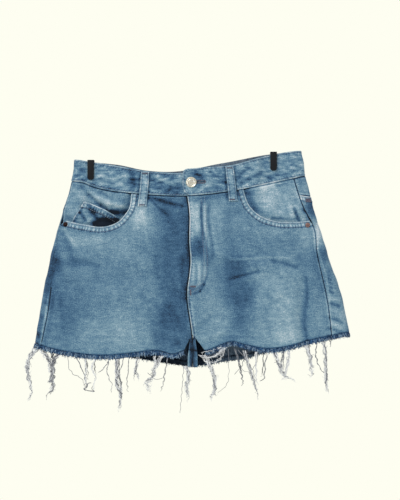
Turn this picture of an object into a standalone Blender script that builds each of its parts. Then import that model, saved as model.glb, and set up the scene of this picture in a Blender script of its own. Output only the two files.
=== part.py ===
"""Cut-off denim shorts that hang by the waistband from two hanger clips.

Each cloth piece is cut flat: its outline is drawn in the cloth's own two directions, ruled into
a grid, given its thickness, and draped on the hanging body. The two directions are the share,
0 to 1 across the front from the left fold to the right one and 1 to 2 back again behind, and
the height. Metres, +Z up, the front towards -Y and the wearer's left side at +X. The origin is
halfway between the tops of the two clips. Tables are in millimetres.
"""

import math
from collections import namedtuple

import bmesh
import bpy
import numpy as np
from mathutils import Matrix

MM = 0.001

# Cloth
DENIM = 1.4 * MM
SEAM_GAP = 0.3 * MM
POINT_CLEAR = 1.2 * MM
GIRTH = 0.45  # metres of cloth that one share stands for while a piece lies flat
FOLD_POWER = 3.0  # how square the body's cross-section is: 2 is an ellipse

# The hanging body from top to bottom: its left and right folds, its depth from front to back,
# and how far behind the clips' plane the middle of that depth lies.
Level = namedtuple("Level", "height left right depth middle")
BODY = [Level(*row) for row in (
    (12, -171, 191, 22, 0),
    (-40, -179, 202, 24, 0),
    (-97, -195, 217, 34, 2),
    (-155, -211, 235, 42, 4),
    (-227, -226, 259, 47, 5),
    (-303, -239, 275, 50, 5),
    (-350, -249, 285, 52, 5),
)]

# Lines that run round the body, as (share, height). The waistband's top is counted from the tab's
# end in front, round the back, to the end that lies under the tab; the others are closed.
BAND_TOP = (
    (0.46, -21), (0.49, -21), (0.55, -19.5), (0.69, -15), (0.80, -4.4), (0.88, 2.4), (1, 8),
    (1.12, 3.4), (1.19, 0), (1.31, -8.5), (1.40, -14.5), (1.47, -20), (1.57, -25), (1.68, -23.3),
    (1.81, -14), (1.93, -9.6), (2, -6), (2.07, -9.6), (2.19, -16.6), (2.31, -24.5), (2.40, -27.5),
    (2.6, -28.5),
)
BAND_BOTTOM = (
    (0, -41), (0.05, -43), (0.10, -50), (0.16, -55.5), (0.24, -59.5), (0.31, -62),
    (0.49, -64.5), (0.69, -56), (0.85, -44), (0.95, -36), (1, -32), (1.12, -36),
    (1.31, -47), (1.52, -57), (1.66, -60), (1.81, -53), (1.93, -46), (2, -41),
)
YOKE_BOTTOM = (
    (0.94, -63), (1, -66), (1.15, -77), (1.30, -97), (1.46, -119), (1.47, -119), (1.65, -106),
    (1.82, -90), (2, -78), (2.02, -77),
)
# The raw hem. In front it breaks off at the crotch, between the two notch shares.
HEM = (
    (0, -307), (0.026, -310), (0.10, -317.5), (0.17, -324), (0.24, -326), (0.31, -323),
    (0.385, -319.5), (0.445, -325), (0.475, -319), (0.54, -320), (0.58, -312), (0.62, -305),
    (0.665, -310), (0.735, -316), (0.805, -307), (0.87, -301), (0.94, -294), (1, -290),
    (1.06, -294), (1.15, -301), (1.30, -318), (1.345, -323), (1.41, -332), (1.44, -335),
    (1.50, -340), (1.56, -336), (1.655, -323), (1.76, -318), (1.90, -311), (2, -307),
)
HEM_LEVEL = -318 * MM
FRAY = 5 * MM  # height of the frayed strip along the raw hem
FRAY_OUTER = -0.2 * MM
FRAY_INNER = -1.2 * MM

# Seams that run down: (height, share) at the sides, (height, place across) in the middle
SIDE_SEAM_RIGHT = ((-38, 0.001), (-97, 0.002), (-160, 0.011), (-233, 0.017), (-320, 0.027))
SIDE_SEAM_LEFT = ((-30, 0.947), (-87, 0.963), (-108, 0.978), (-160, 0.962), (-300, 0.940))
CROTCH_ACROSS = 17.5
FLY_EDGE = (
    (-60, 8), (-91, 12), (-141, 12), (-171, 14), (-193, 12), (-216, 9), (-232, 9), (-262, 13),
    (-293, CROTCH_ACROSS), (-345, CROTCH_ACROSS),
)
BACK_SEAM = (
    (-50, 10), (-120, 12), (-250, 16), (-293, CROTCH_ACROSS), (-345, CROTCH_ACROSS),
)

# Crotch: the front and back come together towards a short, narrow bridge between the legs.
BRIDGE_HALF_WIDTH = 7.6 * MM
BRIDGE_BOTTOM = -342 * MM
BRIDGE_WAIST = -324 * MM
BRIDGE_HALF_DEPTH = 1.6 * MM
NOTCH_TOP = -294 * MM
NOTCH_HALF_WIDTH = 4 * MM
NOTCH_SHARE = {"right": 0.472, "left": 0.538}
PINCH_START_FRONT = -264 * MM
PINCH_START_BACK = -280 * MM
PINCH_REACH = 62 * MM

# Fly and waistband overlap, the wearer's left over the right
FLY_WIDTH = 27 * MM
FLY_BOTTOM = -228 * MM
FLY_UNDERLAP = 12 * MM
FLY_STEP = 6 * MM  # how far below it the underlap has run back to the seam
FLY_RUN_OUT = 18 * MM  # over which the two fronts come level again below the fly
FLY_LIFT = 1.0 * MM
FLY_TUCK_REACH = 8 * MM
FLY_TUCK = DENIM + 2.5 * SEAM_GAP - FLY_LIFT
BAND_OUTER = 0.8 * MM
BAND_INNER = -1.6 * MM
BAND_MIDDLE = -40 * MM
TAB_END = 1 * MM
TAB_CORNER = 7 * MM
TAB_SHAPE = ((1.6, 0), (0.5, 0.12), (0, 0.34), (0, 0.8), (0.35, 0.94), (1, 1))  # (corners, row)
TAB_RUN_OUT = 44 * MM
TAB_LIFT = 1.6 * MM
BAND_UNDERLAP_END = 38 * MM
BAND_TUCK = BAND_OUTER - BAND_INNER + SEAM_GAP - TAB_LIFT
BAND_TUCK_START = -26 * MM
BAND_TUCK_REACH = 24 * MM

# Front pocket mouths, as (place across, height) from the waist seam to the side seam
MOUTH_RIGHT = ((-81, -58), (-84, -81), (-91, -94), (-105, -108), (-129, -115), (-159, -111),
               (-190, -104.5))
MOUTH_LEFT = ((99, -54), (106, -76), (118, -91), (134, -101), (159, -107), (187, -107),
              (208, -104.5))
MOUTH_END = -112 * MM  # where a mouth's edge is sewn into the side seam
FACING_DEEP = {"right": 3.8 * MM, "left": 2.2 * MM}  # the right one has the coin pocket on it
BAG_DEEPER = 1.0 * MM
BAG_GAP = 0.7 * MM
BAG_HANGS_FROM = 11  # of the points along the facing's lower edge
COTTON = 1.0 * MM
FACING_EASE = 14 * MM  # how far above the mouth a facing comes level with the panel
# Facing and bag outlines below the mouth, as (place across, height) from the waist seam round to
# the side seam. A bag hangs from the facing's last three points.
FACING_RIGHT = ((-64, -60), (-68, -92), (-86, -122), (-120, -135), (-160, -132), (-196, -126))
FACING_LEFT = ((84, -56), (90, -86), (104, -108), (134, -122), (170, -127), (214, -125))
BAG_RIGHT = ((-66, -150), (-72, -196), (-92, -226), (-128, -236), (-166, -228), (-194, -206))
BAG_LEFT = ((88, -140), (92, -190), (112, -220), (146, -231), (184, -224), (210, -204))
# How the pocket's back stands away from the panel
Gape = namedtuple("Gape", "across height reach_across reach_down depth")
GAPE_RIGHT = Gape(-118, -108, 40, 34, 8.0)
GAPE_LEFT = Gape(150, -128, 40, 34, 2.0)

# Coin pocket on the right facing: (place across, height) of its corners from the side seam round,
# with its mouth from the second to the fifth
COIN_POCKET = ((-189, -123), (-160.5, -76), (-142, -82), (-120, -93), (-103, -104), (-104, -127),
               (-140, -131))
COIN_MOUTH_STAND = 1.6 * MM
COIN_MOUTH_REACH = 16 * MM

# Back pockets: (place across, height) of the corners, on the wearer's right side
BACK_POCKET = ((-172, -127), (-30, -127), (-36, -252), (-99, -276), (-164, -252))
BACK_POCKET_SHIFT = 36 * MM  # how far the mirrored left one lies towards the wearer's left
BACK_POCKET_STAND = 1.8 * MM
BACK_POCKET_REACH = 62 * MM
BACK_POCKET_LEVEL = -262 * MM  # below it a back pocket lies close
BACK_POCKET_RISE = 90 * MM
PATCH_GAP = 0.8 * MM  # under a patch that lies on a panel

# Belt loops: the share of each, counted as for the waistband's top, and how far its foot leans
LOOP_WIDTH = 13 * MM
LOOP_LENGTH = 56 * MM
LOOP_STAND = 1.2 * MM
LOOP_BELOW_TOP = 1.5 * MM
LOOP_STEP = 8 * MM  # the height over which a loop comes off the waistband's lower edge
LOOP_ROWS = 9
Loop = namedtuple("Loop", "name share lean")
LOOPS = [Loop(*row) for row in (
    ("belt_loop_front_right", 2.312, 0.5),
    ("belt_loop_front_left", 0.676, 1.5),
    ("belt_loop_back_left", 1.22, 1),
    ("belt_loop_back_middle", 1.49, 0),
    ("belt_loop_back_right", 1.77, -1),
)]

# Large soft folds: from one end to the other, how wide, and how far out (or in) they stand
Fold = namedtuple("Fold", "across_1 height_1 across_2 height_2 width out")
FRONT_FOLDS = [Fold(*row) for row in (
    (192, -205, 200, -300, 11, -3.5),
    (160, -225, 166, -320, 26, 4.0),
    (70, -162, 190, -196, 11, 2.2),
    (66, -185, 60, -300, 22, -4.0),
    (104, -260, 106, -320, 22, 3.0),
    (-30, -170, -26, -318, 24, -4.0),
    (-120, -235, -122, -322, 42, 4.0),
    (-206, -250, -214, -306, 14, 2.5),
)]
BACK_FOLDS = [Fold(*row) for row in (
    (-120, -160, -124, -270, 52, 5.0),
    (140, -160, 146, -270, 52, 5.0),
    (14, -130, 16, -250, 20, -3.0),
    (-60, -270, -66, -325, 20, -4.0),
    (96, -270, 104, -322, 20, -4.0),
    (190, -180, 210, -290, 16, -3.0),
    (-176, -180, -186, -300, 16, -3.0),
)]

# Clips: one finger in front and one behind, joined over the waistband
Clip = namedtuple("Clip", "name across top bottom")
CLIPS = (
    Clip("hanger_clip_right", -147.4 * MM, -6.6 * MM, -38.9 * MM),
    Clip("hanger_clip_left", 148.2 * MM, 6.6 * MM, -24.0 * MM),
)
CLIP_WIDTH = 10.6 * MM
CLIP_FINGER = 3.0 * MM
CLIP_BRIDGE = 1.5 * MM
CLIP_HALF_DEPTH = 4.6 * MM  # of the cloth between the fingers
CLIP_FLAT = 8 * MM
CLIP_EASE = 22 * MM
CLIP_PRESS_REACH = 80 * MM  # how far below a clip its pressing fades out
CLIP_PRESS_EASE = 72 * MM
CLIP_ROUNDING = 4.2 * MM

# Button and rivets, their half outlines as (share of the radius, how far out)
Turned = namedtuple("Turned", "name across height")
BUTTON = Turned("waist_button", 15 * MM, -43 * MM)
BUTTON_RADIUS = 8.5 * MM
BUTTON_PROFILE = (
    (0.235, 0.5), (0.86, 0.5), (1, 1.2), (1, 2.2), (0.9, 2.7), (0.78, 2.6), (0.68, 2.2),
    (0.4, 2.4), (0, 2.7),
)
BUTTONHOLE_END = 36 * MM
BUTTONHOLE_WIDTH = 2.4 * MM
BUTTONHOLE_RISE = 0.6 * MM
EYE_RADIUS = 3 * MM
CUT_DEEP = 5 * MM
RIVET_RADIUS = 4 * MM
RIVET_PROFILE = ((0, 0), (1, 0), (1, 0.6), (0.75, 1.1), (0.4, 1.0), (0, 1.6))
RIVETS = (
    Turned("rivet_right", -188 * MM, -111 * MM),
    Turned("rivet_left", 203 * MM, -112 * MM),
)

# Threads that hang from the frayed hem: the long ones by place across, and between them an even
# row of shorter ones.
Strand = namedtuple("Strand", "across width length drift")
LONG_STRANDS = {
    "front": [Strand(*row) for row in (
        (-210, 4.5, 72, 1), (-181, 1.2, 56, 5), (-166, 1.8, 48, 6), (-154, 1.6, 44, 2),
        (-141, 1.6, 54, -1), (-117, 1.4, 52, -1), (-104, 4.0, 84, 3), (-86, 1.4, 54, -4),
        (-70, 2.0, 36, -4), (-38, 3.8, 48, -13), (-23, 1.6, 44, -9), (42, 3.6, 70, 9),
        (73, 1.4, 46, -12), (87, 1.8, 40, 10), (102, 2.2, 68, 17), (121, 1.6, 40, 0),
        (134, 1.6, 38, -6), (149, 3.6, 44, 20), (171, 2.0, 44, -8), (197, 2.2, 48, 10),
        (214, 1.6, 46, 12), (230, 2.6, 84, 4),
    )],
    "back": [Strand(*row) for row in (
        (-235, 2.4, 84, -8), (3, 3.0, 54, 4), (-60, 1.6, 40, 3), (66, 1.8, 40, -8),
    )],
}
SHORT_STRAND_SPACING = {"front": 9.5 * MM, "back": 10.5 * MM}
SHORT_STRAND_WIDTH = 1.3 * MM
SHORT_STRAND_LENGTH = 15 * MM
SHORT_STRAND_SPREAD = 5.5 * MM
SHORT_STRAND_DRIFT = 1.6 * MM
STRAND_STEPS = 3
STRAND_TIP = 0.45  # of its width at the root
STRAND_CLEAR = 2.6 * MM  # between the roots of neighbours
BACK_STRIP_GAP = 0.016  # share either side of the back seam that has no frayed strip

# Where a piece is ruled: close together at the folds, at the clips' edges and along the fly, and
# evenly between them.
FOLD_SHARES = (0.0, 0.004, 0.016, 0.034, 0.057)
RIGHT_HALF_SHARES = FOLD_SHARES + tuple(np.arange(0.1, 0.43, 0.04))
LEFT_HALF_SHARES = (*np.arange(0.6, 0.81, 0.04), 0.845, 0.889) + tuple(
    1 - s for s in FOLD_SHARES[::-1]
)
FLY_SHARES = (0.455, 0.476, 0.493, 0.526, 0.56)
BACK_MIDDLE_SHARES = (0.46, 0.5, 0.54)
FRONT_SHARES = RIGHT_HALF_SHARES + FLY_SHARES + LEFT_HALF_SHARES
BACK_SHARES = RIGHT_HALF_SHARES + BACK_MIDDLE_SHARES + LEFT_HALF_SHARES
SHARES = tuple(sorted({round(float(s), 4) for s in (
    *FRONT_SHARES, *(2 - s for s in BACK_SHARES), *(2 + s for s in FRONT_SHARES),
)}))
ROW_HEIGHTS = tuple(-0.018 * k for k in range(2, 20))
BAND_ROWS = (1 / 3, 2 / 3)

# Base colour, roughness and metallic value of each finish
FINISHES = {
    "denim": ((0.235, 0.36, 0.46), 0.9, 0.0),
    "frayed": ((0.10, 0.20, 0.36), 0.95, 0.0),
    "cotton": ((0.80, 0.80, 0.76), 0.9, 0.0),
    "button": ((0.80, 0.76, 0.62), 0.35, 1.0),
    "rivet": ((0.50, 0.30, 0.22), 0.4, 1.0),
    "clip": ((0.02, 0.02, 0.02), 0.5, 0.0),
}


def smooth(at, points):
    """A smooth curve through a table's (place, value) points, read at the places given."""
    place, value = np.array(sorted(points), float).T
    slope = np.gradient(value, place)
    at = np.clip(np.asarray(at, float), place[0], place[-1])
    i = np.clip(np.searchsorted(place, at) - 1, 0, len(place) - 2)
    span = place[i + 1] - place[i]
    t = (at - place[i]) / span
    start = value[i] * (1 + 2 * t) * (1 - t) ** 2 + slope[i] * span * t * (1 - t) ** 2
    end = value[i + 1] * t**2 * (3 - 2 * t) - slope[i + 1] * span * t**2 * (1 - t)
    return start + end


def ease(t):
    """0 before 0, 1 after 1, and a soft step between."""
    t = np.clip(t, 0, 1)
    return t * t * (3 - 2 * t)


def body(column, height):
    """One of the body's measures at a height, in metres."""
    return smooth(np.asarray(height) / MM, [(r.height, getattr(r, column)) for r in BODY]) * MM


def round_line(table, share):
    """The height of a line that runs round the body, straight between the ruled shares."""
    start, end = table[0][0], table[-1][0]
    knots = np.array([s for s in SHARES if start <= s <= end])
    closed = end - start == 2
    return np.interp(share, knots, smooth(knots, table) * MM, period=2 if closed else None)


def down_line(table, height, unit=1.0):
    """The share, or with a unit the place across, of a seam that runs down."""
    knots = np.array(sorted(ROW_HEIGHTS)) / MM
    return np.interp(np.asarray(height) / MM, knots, smooth(knots, table)) * unit


def front(across, height):
    """The share of a place on the front."""
    left, right = body("left", height), body("right", height)
    return (across - left) / (right - left)


def back(across, height):
    """The share of a place on the back."""
    return 2 - front(across, height)


def across_of(share, height):
    """How far across the body a share lies."""
    lap = np.mod(share, 2.0)
    lap = np.where(lap > 1, 2 - lap, lap)
    left, right = body("left", height), body("right", height)
    return left + lap * (right - left)


def turn_of(share):
    """The turn round the body: 0 at the left fold, pi at the right one."""
    lap = np.mod(share, 2.0)
    behind = lap > 1
    side = 2 * np.where(behind, 2 - lap, lap) - 1
    turn = np.arccos(-np.sign(side) * np.abs(side) ** (FOLD_POWER / 2))
    return np.where(behind, 2 * np.pi - turn, turn)


def past(points, x, z):
    """How far each place lies from a polyline of (across, height) points in millimetres."""
    line = np.array(points) * MM
    nearest = np.full(np.shape(x), np.inf)
    for (x1, z1), (x2, z2) in zip(line[:-1], line[1:], strict=True):
        along = np.array((x2 - x1, z2 - z1))
        t = np.clip(((x - x1) * along[0] + (z - z1) * along[1]) / (along @ along), 0, 1)
        nearest = np.minimum(nearest, np.hypot(x - x1 - t * along[0], z - z1 - t * along[1]))
    return nearest


def folds(table, x, z):
    """How far the large folds bring the cloth out."""
    out = np.zeros_like(x)
    for fold in table:
        ends = ((fold.across_1, fold.height_1), (fold.across_2, fold.height_2))
        out += fold.out * MM * np.exp(-((past(ends, x, z) / (fold.width * MM)) ** 2))
    return out


def skin(turn, z):
    """The outer face of the hanging cloth at a turn and a height."""
    c, s = np.cos(turn), np.sin(turn)
    left, right, depth, middle = (body(k, z) for k in Level._fields[1:])
    x = (left + right) / 2 - (right - left) / 2 * np.sign(c) * np.abs(c) ** (2 / FOLD_POWER)
    fullness = np.abs(s) ** (2 / FOLD_POWER)
    stand = depth / 2 * fullness
    outward = np.where(s > 0, folds(FRONT_FOLDS, x, z), folds(BACK_FOLDS, x, z))
    stand = stand + outward * fullness**2
    for clip in CLIPS:
        level = ease((z - clip.bottom + CLIP_PRESS_REACH) / CLIP_PRESS_EASE)
        pressed = level * ease(1 - (np.abs(x - clip.across) - CLIP_FLAT) / CLIP_EASE)
        stand = stand + (CLIP_HALF_DEPTH - stand) * pressed
    start = np.where(s > 0, PINCH_START_FRONT, PINCH_START_BACK)
    near = np.clip(1 - np.abs(x - CROTCH_ACROSS * MM) / PINCH_REACH, 0, 1)
    pinched = ease((start - z) / (start - BRIDGE_BOTTOM)) * (1 - np.sqrt(1 - near**2))
    stand = stand + (BRIDGE_HALF_DEPTH - stand) * pinched
    return np.stack([x, middle + np.where(s > 0, -stand, stand), z], axis=-1)


def drape(share, out, z):
    """A point of the cloth in space: round the body, out from its outer face, and its height."""
    turn, step = turn_of(share), 1e-4
    place = skin(turn, z)
    along = skin(turn + step, z) - skin(turn - step, z)
    down = skin(turn, z - step) - skin(turn, z + step)
    normal = np.cross(down, along)
    normal /= np.linalg.norm(normal, axis=-1, keepdims=True)
    return place + normal * np.asarray(out)[..., None]


def material(name):
    """A Principled material of one of the part's finishes, made once."""
    found = bpy.data.materials.get(name)
    if found:
        return found
    colour, roughness, metallic = FINISHES[name]
    made = bpy.data.materials.new(name)
    made.use_nodes = True
    shader = made.node_tree.nodes["Principled BSDF"]
    shader.inputs["Base Color"].default_value = (*colour, 1)
    shader.inputs["Roughness"].default_value = roughness
    shader.inputs["Metallic"].default_value = metallic
    return made


def add_object(name, bm, finish):
    """The finished piece as an object of its own, shaded smooth."""
    bmesh.ops.recalc_face_normals(bm, faces=bm.faces[:])
    if bm.calc_volume(signed=True) < 0:
        bmesh.ops.reverse_faces(bm, faces=bm.faces[:])
    mesh = bpy.data.meshes.new(name)
    bm.to_mesh(mesh)
    bm.free()
    mesh.materials.append(material(finish))
    mesh.shade_smooth()
    mesh.set_sharp_from_angle(angle=math.radians(40))
    made = bpy.data.objects.new(name, mesh)
    bpy.context.collection.objects.link(made)
    return made


def cut(outline, shares, rows):
    """A flat piece cut to its outline of (share, row) points and ruled into a grid. Its outer
    face lies at y = 0 and its inner face one unit behind."""
    bm = bmesh.new()
    bm.faces.new([bm.verts.new((share * GIRTH, 0, row)) for share, row in outline])
    low, high = np.min(outline, axis=0), np.max(outline, axis=0)
    lines = [((s * GIRTH, 0, 0), (1, 0, 0)) for s in shares if low[0] < s < high[0]]
    lines += [((0, 0, r), (0, 0, 1)) for r in rows if low[1] < r < high[1]]
    for place, across in lines:
        every = bm.verts[:] + bm.edges[:] + bm.faces[:]
        bmesh.ops.bisect_plane(bm, geom=every, dist=1e-6, plane_co=place, plane_no=across)
    bmesh.ops.remove_doubles(bm, verts=bm.verts[:], dist=2e-5)
    bmesh.ops.solidify(bm, geom=bm.faces[:], thickness=1)
    return bm


def hang(bm, outer, inner, lift=None, height=None):
    """Drapes a cut piece: its outer and inner faces lie that far out from the body's face, plus
    what lift gives at a share and height. height turns a row into a height where rows follow a
    line."""
    flat = np.array([v.co for v in bm.verts])
    layer = np.abs(flat[:, 1])
    share, row = flat[:, 0] / GIRTH, flat[:, 2]
    z = row if height is None else height(share, row)
    out = outer + (inner - outer) * layer
    if lift is not None:
        out = out + lift(share, z)
    for vert, place in zip(bm.verts, drape(share, out, z), strict=True):
        vert.co = place


def cloth(name, outline, outer=0.0, inner=-DENIM, lift=None, finish="denim"):
    """One draped cloth piece from its outline of (share, height) points."""
    bm = cut(outline, SHARES, ROW_HEIGHTS)
    hang(bm, outer, inner, lift)
    return add_object(name, bm, finish)


def crossing(table, share_at, shift=0.0):
    """The share where a line round the body, raised by the shift, crosses a seam."""
    share = float(share_at(HEM_LEVEL / 2))
    for _ in range(8):
        share = float(share_at(round_line(table, share) + shift))
    return share


def along_round(table, start, end, shift):
    """Outline points along a line that runs round the body, from one share to another."""
    low, high = sorted((start, end))
    inside = [s for s in SHARES if low < s < high]
    shares = [start, *(inside if end > start else inside[::-1]), end]
    return [(s, float(round_line(table, s)) + shift) for s in shares]


def between(table, first, last, shift):
    """Outline points along a line that runs round the body, from one seam to another."""
    return along_round(table, crossing(table, first, shift), crossing(table, last, shift), shift)


def along_down(share_at, start, end):
    """Outline points along a seam that runs down or up, from one height to another."""
    low, high = sorted((start, end))
    inside = [z for z in sorted(ROW_HEIGHTS) if low < z < high]
    heights = [start, *(inside if end > start else inside[::-1]), end]
    return [(float(share_at(z)), z) for z in heights]


def joined(*lines):
    """One outline from lines laid end to end, without the points that all but repeat."""
    outline = []
    for share, z in (point for line in lines for point in line):
        clear = 1.0
        if outline:
            clear = math.hypot((share - outline[-1][0]) * GIRTH, z - outline[-1][1])
        if clear > POINT_CLEAR:
            outline.append((share, z))
    return outline


def curve(points, place=front, steps=3):
    """Outline points along a smooth curve through (across, height) points in millimetres."""
    points = np.array(points, float)
    knots = np.arange(len(points))
    fine = np.linspace(0, len(points) - 1, (len(points) - 1) * steps + 1)
    x = smooth(fine, list(zip(knots, points[:, 0], strict=True))) * MM
    z = smooth(fine, list(zip(knots, points[:, 1], strict=True))) * MM
    return [(float(place(a, b)), float(b)) for a, b in zip(x, z, strict=True)]


def half_gap(z):
    """Half a seam's gap, as a share of the body's width."""
    return SEAM_GAP / 2 / (body("right", z) - body("left", z))


def side_seam(side, hand):
    """The share of a side seam at a height, half a gap towards the front or away from it."""
    table, sign = (SIDE_SEAM_RIGHT, 1) if side == "right" else (SIDE_SEAM_LEFT, -1)
    return lambda z: down_line(table, z) + sign * hand * half_gap(z)


def from_behind(seam):
    """The same seam, with its share counted on round the back."""
    return lambda z: seam(z) + 2


def middle_seam(hand, shift=0.0):
    """The share of the fly's edge and front seam, half a gap to one side."""
    return lambda z: front(down_line(FLY_EDGE, z, MM) + shift, z) + hand * half_gap(z)


def back_seam(hand):
    """The share of the seam down the middle of the back."""
    return lambda z: back(down_line(BACK_SEAM, z, MM), z) + hand * half_gap(z)


def bridge_points(side):
    """The front's crotch piece, from the middle seam's foot up to the notch beside it."""
    out = -1 if side == "right" else 1
    middle = CROTCH_ACROSS * MM
    foot = middle + out * BRIDGE_HALF_WIDTH
    notch = middle + out * NOTCH_HALF_WIDTH
    places = ((foot, BRIDGE_BOTTOM), (foot, BRIDGE_WAIST), (notch, NOTCH_TOP))
    return [(float(front(x, z)), z) for x, z in places]


def fly_level(z):
    """1 along the fly and 0 below it."""
    return ease((z - FLY_BOTTOM + FLY_RUN_OUT) / FLY_RUN_OUT)


def fly_lift(share, z):
    """The wearer's left front rises over the right one along the fly."""
    away = across_of(share, z) - down_line(FLY_EDGE, z, MM)
    return FLY_LIFT * fly_level(z) * ease(1 - (away - FLY_UNDERLAP) / (FLY_WIDTH - FLY_UNDERLAP))


def fly_tuck(share, z):
    """The wearer's right front sinks under the fly."""
    away = across_of(share, z) - down_line(FLY_EDGE, z, MM)
    return -FLY_TUCK * fly_level(z) * ease((away + FLY_TUCK_REACH) / (FLY_TUCK_REACH - 1 * MM))


def add_fronts():
    """The two fronts, each from its pocket mouth to the middle seam and down to the hem."""
    gap, hem = SEAM_GAP / 2, FRAY + SEAM_GAP
    under, middle = middle_seam(-1, FLY_UNDERLAP), middle_seam(-1)
    waist = crossing(BAND_BOTTOM, under, -gap)
    top = float(round_line(BAND_BOTTOM, waist)) - gap
    right_middle = joined(
        along_down(under, top, FLY_BOTTOM),
        along_down(middle, FLY_BOTTOM - FLY_STEP, BRIDGE_BOTTOM),
    )
    left_middle = along_down(middle_seam(1), top, BRIDGE_BOTTOM)
    for side, table, edge, lift in (
        ("right", MOUTH_RIGHT, right_middle, fly_tuck),
        ("left", MOUTH_LEFT, left_middle, fly_lift),
    ):
        seam, mouth = side_seam(side, 1), curve(table)
        raw = along_round(HEM, NOTCH_SHARE[side], crossing(HEM, seam, hem), hem)
        outline = joined(
            along_round(BAND_BOTTOM, mouth[0][0], edge[0][0], -gap),
            edge,
            bridge_points(side),
            raw,
            along_down(seam, raw[-1][1], MOUTH_END),
            mouth[-2:0:-1],
        )
        cloth(f"front_panel_{side}", outline, lift=lift)


def add_backs():
    """The two backs and the yokes above them."""
    gap, hem = SEAM_GAP / 2, FRAY + SEAM_GAP
    for side, first, last in (
        ("left", side_seam("left", -1), back_seam(-1)),
        ("right", back_seam(1), from_behind(side_seam("right", -1))),
    ):
        waist = between(BAND_BOTTOM, first, last, -gap)
        foot = between(YOKE_BOTTOM, last, first, gap)
        cloth(f"yoke_{side}", joined(waist, foot))
        top = between(YOKE_BOTTOM, first, last, -gap)
        raw = between(HEM, last, first, hem)
        outline = joined(
            top,
            along_down(last, top[-1][1], raw[0][1]),
            raw,
            along_down(first, raw[-1][1], top[0][1])[:-1],
        )
        cloth(f"back_panel_{side}", outline)


def band_height(share, row):
    """The waistband's rows run from its lower edge, 0, to its top, 1."""
    low = round_line(BAND_BOTTOM, share) + SEAM_GAP / 2
    return low + (round_line(BAND_TOP, share) - low) * row


def band_lift(share, z):
    """The tab's end rises over the other end, which sinks under it."""
    x = across_of(share, z)
    over = TAB_LIFT * ease(1 - (x - BAND_UNDERLAP_END - 1 * MM) / TAB_RUN_OUT)
    under = -BAND_TUCK * ease((x - BAND_TUCK_START) / BAND_TUCK_REACH)
    return np.where(share < 1, over, np.where(share > 2, under, 0))


def keyhole():
    """The cutters for the buttonhole: a round eye about the button's post and a slit."""
    tab = drape(front(BUTTON.across, BUTTON.height), BAND_OUTER + TAB_LIFT, BUTTON.height)
    bm = bmesh.new()
    bmesh.ops.create_cone(bm, cap_ends=True, segments=16, radius1=EYE_RADIUS,
                          radius2=EYE_RADIUS, depth=CUT_DEEP)
    bmesh.ops.rotate(bm, verts=bm.verts[:], matrix=turned_to(0))
    eye = add_object("cutter_eye", bm, "denim")
    bm = bmesh.new()
    bmesh.ops.create_cube(bm, size=1)
    long = BUTTONHOLE_END - BUTTON.across
    bmesh.ops.scale(bm, verts=bm.verts[:], vec=(long, CUT_DEEP, BUTTONHOLE_WIDTH))
    bmesh.ops.translate(bm, verts=bm.verts[:], vec=(long / 2, 0, BUTTONHOLE_RISE))
    slit = add_object("cutter_slit", bm, "denim")
    for cutter in (eye, slit):
        cutter.location = (BUTTON.across, float(tab[1]), BUTTON.height)
        cutter.hide_render = True
        cutter.display_type = "WIRE"
    return eye, slit


def turned_to(azimuth):
    """The turn that brings a shape's own +Z to face the front, or round from it."""
    return Matrix.Rotation(azimuth, 3, "Z") @ Matrix.Rotation(math.pi / 2, 3, "X")


def add_waistband():
    """One strip round the waist, from the tab on the front to the end that lies under it."""
    start = float(front(TAB_END, BAND_MIDDLE))
    end = 2 + float(front(BAND_UNDERLAP_END, BAND_MIDDLE))
    outline = [(start + corners * TAB_CORNER / GIRTH, row) for corners, row in TAB_SHAPE]
    bm = cut([*outline, (end, 1), (end, 0)], SHARES, BAND_ROWS)
    hang(bm, BAND_OUTER, BAND_INNER, band_lift, band_height)
    band = add_object("waistband", bm, "denim")
    for cutter in keyhole():
        hole = band.modifiers.new(cutter.name, "BOOLEAN")
        hole.operation = "DIFFERENCE"
        hole.object = cutter


def mouth_height(mouth, x):
    """The height of a pocket mouth's edge at a place across: none past its upper end."""
    line = np.array(mouth[::-1]) * MM
    inward = np.sign(line[-1, 0] - line[0, 0])
    height = np.interp(x * inward, line[:, 0] * inward, line[:, 1])
    return np.where((x - line[-1, 0]) * inward > 0, np.inf, height)


def pocket_depth(side):
    """How far behind the panel's face a pocket's facing and bag lie."""
    mouth = MOUTH_RIGHT if side == "right" else MOUTH_LEFT
    gape = Gape(*np.array(GAPE_RIGHT if side == "right" else GAPE_LEFT) * MM)

    def lift(share, z):
        x = across_of(share, z)
        above = np.where(z < mouth_height(mouth, x), 0, past(mouth, x, z))
        level = FACING_DEEP[side] * ease(1 - above / FACING_EASE)
        away = ((x - gape.across) / gape.reach_across) ** 2
        away += ((z - gape.height) / gape.reach_down) ** 2
        return -level - gape.depth * np.exp(-away)

    return lift


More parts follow.
